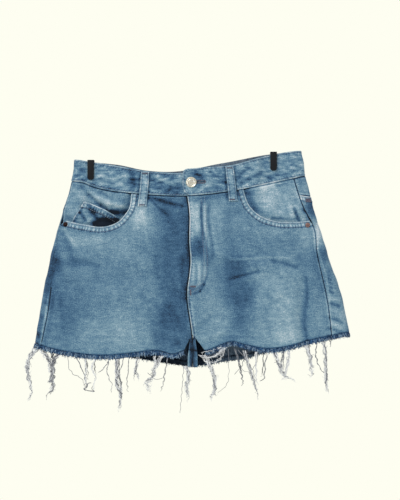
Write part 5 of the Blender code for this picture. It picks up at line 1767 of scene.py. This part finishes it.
# Tone beside sewn edges, as (millimetres, tone): 0.5 changes nothing
# Pale edges are partly rubbed and partly painted highlight; the dark past the second line of
# stitches is painted shadow
DOUBLE_TONE = ((0, 0.82), (1.3, 0.86), (2.0, 0.34), (2.9, 0.58), (5.0, 0.68), (7.2, 0.62),
               (8.1, 0.16), (9.2, 0.22), (10.6, 0.5), (14, 0.5))
SINGLE_TONE = ((0, 0.66), (1.3, 0.68), (2.0, 0.34), (2.8, 0.36), (3.8, 0.53), (14, 0.5))
JOINT_TONE = ((0, 0.0), (1.1, 0.1), (2.0, 0.46), (2.8, 0.6), (4.0, 0.5), (5.6, 0.43), (14, 0.5))
# The puckers' painted light and shade: pale on their crests and dark between, in step with their
# waves
PUCKER_TONE = ((0, 0.0), (2.0, 0.2), (4.0, 0.7), (7.0, 1.0), (9.5, 0.7), (12, 0.0))
PUCKER_BANDS = (("double_mm", 0.17, 1.0), ("single_mm", 0.1, 0.5))  # strength and reach
EDGE_TONES = (("double_mm", DOUBLE_TONE), ("single_mm", SINGLE_TONE), ("joint_mm", JOINT_TONE))
SHADER = "Principled BSDF"


def woven(tree, place, grain, tone, roughness=0.6):
    """Adds a cloth's grain to a tone. Gives the tone and the first grain's height."""
    heights = []
    for *size, detail, strength in grain:
        heights.append(pattern(tree, place, size, detail, roughness))
        tone = add_node(tree, "Math", (heights[-1], strength, tone), operation="MULTIPLY_ADD")
    middle = sum(row[-1] for row in grain) / 2
    return add_node(tree, "Math", (tone, middle), operation="SUBTRACT"), heights[0]


def edge_tone(tree, attribute, stops):
    """Adds a tone that changes away from the sewn edges that an attribute measures."""
    away = add_node(tree, "Attribute", output="Fac", attribute_name=attribute)
    away = add_node(tree, "Math", (away, SEAM_REACH), operation="DIVIDE")
    stops = [(place / SEAM_REACH, value) for place, value in stops]
    return add_node(tree, "ValToRGB", (away,), stops=stops)


def washed_denim(name):
    """Stonewashed cotton twill: matt, heathered, faded where it is rubbed and dark in its
    seams, with pale edges, partly rubbed and partly painted highlight, and puckered
    topstitching. Its tone also paints the light and shade of folds, pockets, loops, crumples
    and puckers."""
    dyes = setting("shorts_dyes")
    made, tree = new_material(name, Roughness=0.88, Specular_IOR_Level=0.25, Sheen_Weight=0.12,
                              Sheen_Roughness=0.5)
    faded = add_node(tree, "Attribute", output="Fac", attribute_name="wash")
    tone = add_node(tree, "Math", (faded, 0.5, MID_TONE), operation="MULTIPLY_ADD")
    weave = add_node(tree, "UVMap", uv_map="weave")
    tone, grain = woven(tree, weave, DENIM_GRAIN, tone)
    crinkled = pattern(tree, weave, *CRINKLE)
    crinkled = add_node(tree, "Math", (crinkled, 0.5), operation="SUBTRACT")
    crinkle = add_node(tree, "Attribute", output="Fac", attribute_name="crinkle")
    crinkle = add_node(tree, "Math", (crinkle, CRINKLE_TONE), operation="MULTIPLY")
    tone = add_node(tree, "Math", (crinkled, crinkle, tone), operation="MULTIPLY_ADD")
    turned = add_node(tree, "Mapping", {"Vector": weave, "Rotation": (0, 0, TWILL_TURN)})
    across = add_node(tree, "SeparateXYZ", (turned,))
    twill = waves(tree, across, TWILL * MM)
    tone = add_node(tree, "Math", (twill, TWILL_TONE, tone), operation="MULTIPLY_ADD")
    for attribute, stops in EDGE_TONES:
        shade = edge_tone(tree, attribute, stops)
        tone = add_node(tree, "Math", (tone, shade), operation="ADD")
    tone = add_node(tree, "Math", (tone, len(EDGE_TONES) / 2), operation="SUBTRACT")
    run = add_node(tree, "Attribute", output="Fac", attribute_name="run_mm")
    lag = add_node(tree, "Math", (waves(tree, run, PUCKER_WANDER), PUCKER_LAG),
                   operation="MULTIPLY")
    pucker = waves(tree, run, PUCKER_LENGTH, lag)
    for attribute, strength, reach in PUCKER_BANDS:
        band = edge_tone(tree, attribute, [(place * reach, v) for place, v in PUCKER_TONE])
        ribbed = add_node(tree, "Math", (pucker, band), operation="MULTIPLY")
        tone = add_node(tree, "Math", (ribbed, strength, tone), operation="MULTIPLY_ADD")
    height = add_node(tree, "Math", (twill, 0.12, grain), operation="MULTIPLY_ADD")
    bump = add_node(tree, "Bump", {"Height": height, "Strength": 0.55, "Distance": 0.6 * MM})
    stops = [(0.0, dyes.indigo), (0.16, dyes.dark), (0.34, dyes.blue), (0.52, dyes.mid),
             (0.68, dyes.light), (0.82, dyes.pale), (1.0, dyes.worn)]
    return coloured(made, tone, stops, Normal=bump)


def plain_weave(name, light, dark, grain, bump_height, **values):
    """A matt woven finish between two tones, darkened by the painted shade that the tone attribute
    carries.
    """
    made, tree = new_material(name, **values)
    faded = add_node(tree, "Attribute", output="Fac", attribute_name="wash")
    tone = add_node(tree, "Math", (faded, 0.3, 0.5), operation="MULTIPLY_ADD")
    weave = add_node(tree, "UVMap", uv_map="weave")
    tone, height = woven(tree, weave, grain, tone)
    bump = add_node(tree, "Bump", {"Height": height, "Strength": 0.5, "Distance": bump_height})
    stops = [(0.0, setting("shorts_dyes").indigo), (0.25, dark), (0.8, light)]
    return coloured(made, tone, stops, Normal=bump)


def denim_reverse(name):
    """The twill's inner face, where the undyed weft shows: grey, matt and streaked, with painted
    shade where the legs part.
    """
    dyes = setting("shorts_dyes")
    return plain_weave(name, dyes.reverse, dyes.reverse_shade, ((1.6, 6.0, 2, 0.7), (9, 20, 2, 0.5)),
                       0.5 * MM, Roughness=0.92, Specular_IOR_Level=0.2)


def pocket_cotton(name):
    """Plain woven cotton of the pocket bags: thin, matt and slightly yellowed."""
    dyes, threads = setting("shorts_dyes"), setting("shorts_threads")
    return plain_weave(name, threads.cotton, dyes.reverse, ((1.4, 1.4, 2, 0.6), (14, 14, 2, 0.4)),
                       0.3 * MM, Roughness=0.9, Specular_IOR_Level=0.2)


def frayed_edge(name):
    """Raw denim edge: unfaded blue warp ends with white weft between them."""
    dyes = setting("shorts_dyes")
    made, tree = new_material(name, Roughness=0.93, Specular_IOR_Level=0.2)
    place = add_node(tree, "TexCoord", output="Object")
    tone, _ = woven(tree, place, FRAY_GRAIN, 0.5, 0.5)
    stops = [(0.2, dyes.raw_dark), (0.5, dyes.raw), (0.85, dyes.blue), (1.0, dyes.raw_pale)]
    return coloured(made, tone, stops)


def yarn(name, size, *tones):
    """Cotton yarn: matt, its tone changing along and across the lock, from dark to light."""
    made, tree = new_material(name, Roughness=0.85, Specular_IOR_Level=0.25, Sheen_Weight=0.15)
    place = add_node(tree, "TexCoord", output="Object")
    noise = pattern(tree, place, (size * 0.4, size * 0.4, size), 3.0)
    own = add_node(tree, "Attribute", output="Fac", attribute_name="shade")
    tone = add_node(tree, "Math", (noise, 0.8, own), operation="MULTIPLY_ADD")
    tone = add_node(tree, "Math", (tone, 0.4), operation="SUBTRACT")
    return coloured(made, tone, list(zip(np.linspace(0.2, 0.8, len(tones)), tones, strict=True)))


def weft_yarn(name):
    """Loose undyed weft, white with grey and lavender shade."""
    threads = setting("shorts_threads")
    return yarn(name, 4.0, threads.yarn_dim, threads.yarn)


def warp_yarn(name):
    """Loose warp ends, indigo outside and pale at the core."""
    dyes = setting("shorts_dyes")
    return yarn(name, 3.0, dyes.raw_dark, dyes.raw, dyes.raw_pale)


def topstitch_thread(name):
    """Corespun sewing thread, rubbed pale, with a warm cast in places."""
    threads = setting("shorts_threads")
    return yarn(name, 18.0, threads.sewing_warm, threads.sewing)


def bar_tack_thread(name):
    """The darker thread of bar tacks and the buttonhole."""
    threads = setting("shorts_threads")
    return yarn(name, 5.0, threads.bar_tack, threads.sewing_warm)


def turned_metal(name, light, dark, roughness, speck):
    """Plated or bare metal with tarnish in fine specks. It reflects the pale room."""
    made, tree = new_material(name, Metallic=1.0)
    place = add_node(tree, "TexCoord", output="Object")
    noise = pattern(tree, place, (speck, speck, speck), 4.0)
    rough = add_node(tree, "MapRange", {
        "Value": noise, "To Min": roughness + 0.12, "To Max": roughness - 0.1})
    return coloured(made, noise, [(0.36, dark), (0.6, light)], Roughness=rough)


def gilt_button(name):
    """Brass plated pale gold: satin, bright on its rim."""
    metal = setting("shorts_hardware")
    return turned_metal(name, metal.button, metal.button_warm, 0.34, 2.4)


def copper_rivet(name):
    """Bare copper, dulled brown-pink by washing."""
    metal = setting("shorts_hardware")
    return turned_metal(name, metal.rivet, metal.rivet_tarnish_and_shade, 0.5, 1.6)


def tarnished_rivet(name):
    """The same copper painted almost black: a shaded copy of it, for the rivet at the wearer's
    right.
    """
    metal = setting("shorts_hardware")
    return turned_metal(name, metal.rivet_tarnish_and_shade, metal.clip, 0.55, 1.6)


def clip_plastic(name):
    """Injection-moulded black polypropylene: fine eroded texture, soft gloss."""
    metal = setting("shorts_hardware")
    made, tree = new_material(name, Base_Color=metal.clip, IOR=1.49, Specular_IOR_Level=0.3)
    place = add_node(tree, "TexCoord", output="Object")
    noise = pattern(tree, place, (0.7, 0.7, 0.7), 3.0)
    rough = add_node(tree, "MapRange", {"Value": noise, "To Min": 0.5, "To Max": 0.68})
    bump = add_node(tree, "Bump", {"Height": noise, "Strength": 0.3, "Distance": 0.1 * MM})
    feed(tree.nodes[SHADER], {"Roughness": rough, "Normal": bump})
    return made


def matt_paper(name):
    """Matt pale card, the ground."""
    return new_material(name, Base_Color=setting("shorts_stage").ground, Roughness=0.95)[0]


def once(make):
    """The same material for every piece that asks for it."""
    def found(name):
        return bpy.data.materials.get(name) or make(name)
    return found


FINISHES = {make.__name__: once(make) for make in (
    washed_denim, denim_reverse, pocket_cotton, frayed_edge, weft_yarn, warp_yarn, topstitch_thread,
    bar_tack_thread, gilt_button, copper_rivet, tarnished_rivet, clip_plastic, matt_paper,
)}


# ---------------------------------------------------------------- hardware

def turned_to(azimuth):
    """The turn that brings a shape's own +Z to face the front, or round from it."""
    return Matrix.Rotation(azimuth, 3, "Z") @ Matrix.Rotation(math.pi / 2, 3, "X")


def seat(share, out, z):
    """A place on the cloth and the turn about +Z that faces outwards there."""
    place, outside = drape(share, out, z), drape(share, out + 1 * MM, z)
    return place, math.atan2(outside[0] - place[0], place[1] - outside[1])


def make_turned(turned, profile, out, finish, segments):
    """A round metal piece spun from its half outline and seated on the cloth."""
    place, facing = seat(front(turned.across, turned.height), out, turned.height)
    bm = bmesh.new()
    verts = [bm.verts.new((r, 0, out)) for r, out in profile]
    edges = [bm.edges.new(pair) for pair in zip(verts[:-1], verts[1:], strict=True)]
    bmesh.ops.spin(bm, geom=verts + edges, cent=(0, 0, 0), axis=(0, 0, 1), angle=math.tau,
                   steps=segments, use_merge=True)
    bmesh.ops.remove_doubles(bm, verts=bm.verts[:], dist=TINY)
    bmesh.ops.recalc_face_normals(bm, faces=bm.faces[:])
    bmesh.ops.rotate(bm, verts=bm.verts[:], matrix=turned_to(facing))
    bmesh.ops.translate(bm, verts=bm.verts[:], vec=place)
    dresses(finished(f"{turned.name}_turned", bm, finish, smooth_angle=50), turned.name)


def make_clip(clip):
    """A hanger clip: a staple over the waistband with rounded fingers and edges."""
    inside = CLIP_HALF_DEPTH + BAND_OUTER + SEAM_GAP
    outside = inside + CLIP_FINGER
    foot, top, under = clip.bottom, clip.top, clip.top - CLIP_BRIDGE
    staple = [(-outside, foot), (-inside, foot), (-inside, under), (inside, under),
              (inside, foot), (outside, foot), (outside, top), (-outside, top)]
    low = clip.across - CLIP_WIDTH / 2
    bm = extruded([(low, y, z) for y, z in staple], (CLIP_WIDTH, 0, 0))
    feet = [e for e in bm.edges if all(v.co.z < foot + TINY for v in e.verts)
            and abs(e.verts[0].co.x - e.verts[1].co.x) < TINY]
    bmesh.ops.bevel(bm, geom=feet, offset=CLIP_ROUNDING, affect="EDGES", segments=8,
                    profile=0.5, material=-1)
    corners = [e for e in bm.edges if e.calc_face_angle(0) > math.radians(60)]
    bmesh.ops.bevel(bm, geom=corners, offset=setting("shorts_hardware").clip_edge,
                    affect="EDGES", segments=3, profile=0.5, material=-1)
    made = finished(f"{clip.name}_moulded", bm, "clip_plastic", smooth_angle=30)
    dresses(made, clip.name)


def buttonhole_stitches(piece):
    """Short close stitches round the slit that shows beside the button."""
    middle = BUTTON.height + BUTTONHOLE_RISE
    reach = BUTTONHOLE_WIDTH / 2 + np.array([-0.1, 1.7]) * MM
    first = BUTTON.across + 0.35 * (BUTTONHOLE_END - BUTTON.across)
    ways = [(x, hand * math.pi / 2) for x in np.arange(first, BUTTONHOLE_END, 0.8 * MM)
            for hand in (-1, 1)]
    ways += [(BUTTONHOLE_END, angle) for angle in np.linspace(-math.pi / 2, math.pi / 2, 9)]
    runs = []
    for start, angle in ways:
        x, z = start + reach * math.cos(angle), middle + reach * math.sin(angle)
        runs.append(satin(piece, front(x, z), z, np.array([-0.5, 0.3]) * MM, 0.4))
    return runs


# ---------------------------------------------------------------- operators

class SHORTS_OT_fronts(bpy.types.Operator):
    """Makes the two fronts, with the frayed strip below each"""

    bl_idname = "shorts.fronts"
    bl_label = "Fronts"

    def execute(self, context):
        for side in SIDES:
            hung(front_piece(side), ["waistband"], strip_piece(side, "front"))
        return {"FINISHED"}


class SHORTS_OT_backs(bpy.types.Operator):
    """Makes the two backs with their frayed strips, and the yokes above them"""

    bl_idname = "shorts.backs"
    bl_label = "Backs and yokes"

    def execute(self, context):
        for side in SIDES:
            hung(back_piece(side), [f"yoke_{side}"], strip_piece(side, "back"))
            hung(yoke_piece(side), ["waistband"])
        return {"FINISHED"}


class SHORTS_OT_waistband(bpy.types.Operator):
    """Makes the waistband with its tab and buttonhole"""

    bl_idname = "shorts.waistband"
    bl_label = "Waistband"

    def execute(self, context):
        hung(waistband_piece(), [clip.name for clip in CLIPS])
        return {"FINISHED"}


class SHORTS_OT_pockets(bpy.types.Operator):
    """Makes the front pockets' facings and bags, the coin pocket and the back pockets"""

    bl_idname = "shorts.pockets"
    bl_label = "Pockets"

    def execute(self, context):
        for side in SIDES:
            hung(facing_piece(side), ["waistband"])
            hung(bag_piece(side), [f"pocket_facing_{side}"])
            hung(back_pocket_piece(side), [f"back_panel_{side}"])
        hung(coin_piece(), ["pocket_facing_right"])
        return {"FINISHED"}


class SHORTS_OT_belt_loops(bpy.types.Operator):
    """Makes the five belt loops"""

    bl_idname = "shorts.belt_loops"
    bl_label = "Belt loops"

    def execute(self, context):
        for loop in LOOPS:
            hung(loop_piece(loop), ["waistband"])
        return {"FINISHED"}


class SHORTS_OT_sewing(bpy.types.Operator):
    """Sews the topstitching, the bar tacks and the buttonhole"""

    bl_idname = "shorts.sewing"
    bl_label = "Sewing"

    def execute(self, context):
        left, band, coin = front_piece("left"), waistband_piece(), coin_piece()
        loops = [(loop, loop_piece(loop)) for loop in LOOPS]
        runs = sewn_twice(front_piece("right"), [curve(MOUTH["right"])], 1, *MOUTH_STOPS)
        runs += sewn_twice(left, [curve(MOUTH["left"])], -1, *MOUTH_STOPS)
        runs += sewn(left, along_down(middle_seam(1), FLY_TOP, NOTCH_TOP), FLY_EDGE_LINE)
        for inset in FLY_LINES:
            runs += sewn(left, fly_stitch_line(inset), 0)
        spun_threads("front_topstitching", runs, "topstitch_thread")

        low, high, tab = band.single
        runs = sewn(band, low, SINGLE_LINE, *BAND_STOPS)
        runs += sewn(band, high, -SINGLE_LINE, *BAND_STOPS)
        runs += sewn(band, tab, -SINGLE_LINE, *TAB_STOPS)
        for _, piece in loops:
            for edge, hand in zip(piece.single, (1, -1), strict=True):
                runs += sewn(piece, edge, hand * SINGLE_LINE)
        spun_threads("waistband_topstitching", runs, "topstitch_thread")

        runs = []
        for side, hand in zip(SIDES, (-1, 1), strict=True):
            patch = back_pocket_piece(side)
            for piece in (back_piece(side), yoke_piece(side)):
                runs += sewn_twice(piece, piece.double, -1, *SEAM_STOPS)
            runs += sewn_twice(patch, patch.double[:1], hand, *PATCH_STOPS)
            runs += sewn(patch, patch.double[1], hand * PATCH_MOUTH_LINE, *SEAM_STOPS)
        spun_threads("back_topstitching", runs, "topstitch_thread")

        runs = sewn_twice(coin, coin.double, -1, *PATCH_STOPS)
        runs += sewn(coin, coin.single[0], -SINGLE_LINE)
        spun_threads("coin_pocket_topstitching", runs, "topstitch_thread")

        runs = buttonhole_stitches(band)
        for piece, block in ((left, FLY_TACKS[0]), (left, FLY_TACKS[1]),
                             (back_piece("left"), SIDE_TACK)):
            runs += bar_tack(piece, *(v * MM for v in block))
        for loop, piece in loops:
            place = back if 1 < loop.share < 2 else front
            top, foot = piece.outline[0][1], piece.outline[2][1]
            for height in (top - LOOP_TACK_INSET, foot + LOOP_TACK_INSET):
                x = float(across_of(loop.share, height))
                runs += bar_tack(piece, x, height, *LOOP_TACK, place)
        spun_threads("bar_tacks", runs, "bar_tack_thread")
        return {"FINISHED"}


def fly_stitch_line(inset):
    """The curved line of the fly's topstitching: straight down and then round to the seam."""
    points = [(float(front(down_line(FLY_EDGE, z, MM) + inset, z)), float(z))
              for z in np.linspace(FLY_TOP, FLY_TURN, 24)]
    drop = FLY_BOTTOM + 6 * MM + FLY_WIDTH - inset - FLY_TURN
    for angle in np.linspace(0, math.pi / 2, 12)[1:]:
        z = FLY_TURN + drop * math.sin(angle)
        x = float(down_line(FLY_EDGE, z, MM)) + inset * math.cos(angle)
        points.append((float(front(x, z)), z))
    return points


class SHORTS_OT_frayed_hem(bpy.types.Operator):
    """Hangs the loose threads from the hem and frays its edge"""

    bl_idname = "shorts.frayed_hem"
    bl_label = "Frayed hem"

    def execute(self, context):
        rng = np.random.default_rng(FRAY_SEED)
        for face, locks in (("front", FRONT_LOCKS), ("back", BACK_LOCKS)):
            loose = [run for lock in locks for run in hanging(lock, rng, face)]
            warp = [run for side in SIDES for run in short_ends(side, face, rng)]
            spun_threads(f"loose_threads_{face}", loose, "weft_yarn")
            spun_threads(f"short_ends_{face}", warp, "warp_yarn")
        return {"FINISHED"}


class SHORTS_OT_hardware(bpy.types.Operator):
    """Makes the shank button and the two rivets"""

    bl_idname = "shorts.hardware"
    bl_label = "Button and rivets"

    def execute(self, context):
        post = TAB_LIFT + BAND_TUCK - SEAM_GAP
        post_radius = BUTTON_PROFILE[0][0] * BUTTON_RADIUS
        profile = [(0, -post), (post_radius, -post)]
        profile += [(share * BUTTON_RADIUS, out * MM) for share, out in BUTTON_PROFILE]
        make_turned(BUTTON, profile, BAND_OUTER + TAB_LIFT, "gilt_button", 64)
        profile = [(share * RIVET_RADIUS, out * MM) for share, out in RIVET_PROFILE]
        # The rivet at the wearer's right gets the copper's painted shaded copy
        for rivet, finish in zip(RIVETS, ("tarnished_rivet", "copper_rivet"), strict=True):
            make_turned(rivet, profile, SEAM_GAP + DOUBLE_RAISE, finish, 40)
        return {"FINISHED"}


class SHORTS_OT_clips(bpy.types.Operator):
    """Makes the two hanger clips"""

    bl_idname = "shorts.clips"
    bl_label = "Hanger clips"

    def execute(self, context):
        for clip in CLIPS:
            make_clip(clip)
        return {"FINISHED"}


# Softboxes, all aimed at one place: where they stand, side length and power beside the key's
Softbox = namedtuple("Softbox", "name place size share")
SOFTBOXES = [Softbox(*row) for row in (
    ("key", (-1.4, -2.1, 1.7), 1.2, 1.0),
    ("fill", (1.8, -2.2, 0.2), 1.6, 0.35),
    ("behind_right", (1.6, 2.4, 1.3), 1.4, 0.8),
    ("behind_left", (-1.9, 2.0, 0.3), 1.6, 0.35),
)]
AIM = Vector((0.02, 0, -0.17))
FLOOR_HEIGHT = -0.72
FLOOR_RADIUS = 1.1
FRAME_WIDTH = 0.81  # metres that the long side of the picture takes in
SENSOR = 36.0
CAMERA_ACROSS = 29.2 * MM
CAMERA_HEIGHT = -152.3 * MM


class SHORTS_OT_stage(bpy.types.Operator):
    """Sets up the pale ground, the soft lights and the camera"""

    bl_idname = "shorts.stage"
    bl_label = "Stage"

    def execute(self, context):
        stage = setting("shorts_stage")
        scene = context.scene
        scene.view_settings.view_transform = "Standard"
        bm = bmesh.new()
        bmesh.ops.create_circle(bm, cap_ends=True, segments=96, radius=FLOOR_RADIUS)
        bmesh.ops.translate(bm, verts=bm.verts[:], vec=(0, 0, FLOOR_HEIGHT))
        finished("floor", bm, "matt_paper")
        for box in SOFTBOXES:
            light = bpy.data.lights.new(box.name, "AREA")
            light.energy = stage.key * box.share
            light.size = box.size
            lamp = new_object(box.name, light)
            lamp.location = box.place
            lamp.rotation_euler = (AIM - Vector(box.place)).to_track_quat("-Z", "Y").to_euler()
        scene.world = bpy.data.worlds.new("pale_room")
        scene.world.use_nodes = True
        tree = scene.world.node_tree
        seen = add_node(tree, "LightPath", output="Is Camera Ray")
        strength = add_node(tree, "MapRange", {
            "Value": seen, "To Min": stage.ambient, "To Max": 1.0})
        tint = add_node(tree, "Mix", {0: seen, 6: stage.room, 7: stage.ground}, 2,
                        data_type="RGBA")
        feed(tree.nodes["Background"], {"Color": tint, "Strength": strength})
        data = bpy.data.cameras.new("camera")
        data.sensor_width = SENSOR
        data.lens = stage.distance * SENSOR / FRAME_WIDTH
        scene.camera = new_object("camera", data)
        scene.camera.location = (CAMERA_ACROSS, -stage.distance, CAMERA_HEIGHT)
        scene.camera.rotation_euler = (math.pi / 2, 0, 0)
        return {"FINISHED"}


OPERATORS = (
    SHORTS_OT_fronts, SHORTS_OT_backs, SHORTS_OT_waistband, SHORTS_OT_pockets,
    SHORTS_OT_belt_loops, SHORTS_OT_sewing, SHORTS_OT_frayed_hem, SHORTS_OT_hardware,
    SHORTS_OT_clips, SHORTS_OT_stage,
)
GROUPS = {
    "shorts_cloth": ShortsCloth, "shorts_dyes": ShortsDyes, "shorts_threads": ShortsThreads,
    "shorts_hardware": ShortsHardware, "shorts_stage": ShortsStage,
}


class SHORTS_PT_panel(bpy.types.Panel):
    """Lists the pieces of the shorts and their settings"""

    bl_idname = "SHORTS_PT_panel"
    bl_label = "Denim shorts"
    bl_space_type = "VIEW_3D"
    bl_region_type = "UI"
    bl_category = "Shorts"

    def draw(self, context):
        for operator in OPERATORS:
            self.layout.operator(operator.bl_idname)
        for group in GROUPS:
            box = self.layout.box()
            box.label(text=GROUPS[group].__name__)
            for name in GROUPS[group].__annotations__:
                box.prop(setting(group), name)


def register():
    for group, kind in GROUPS.items():
        bpy.utils.register_class(kind)
        setattr(bpy.types.Scene, group, PointerProperty(type=kind))
    for kind in (*OPERATORS, SHORTS_PT_panel):
        bpy.utils.register_class(kind)


def unregister():
    for kind in (SHORTS_PT_panel, *reversed(OPERATORS)):
        bpy.utils.unregister_class(kind)
    for group, kind in GROUPS.items():
        delattr(bpy.types.Scene, group)
        bpy.utils.unregister_class(kind)


def main():
    register()
    for operator in OPERATORS:
        getattr(bpy.ops.shorts, operator.bl_idname.split(".")[1])()


if __name__ == "__main__":
    main()
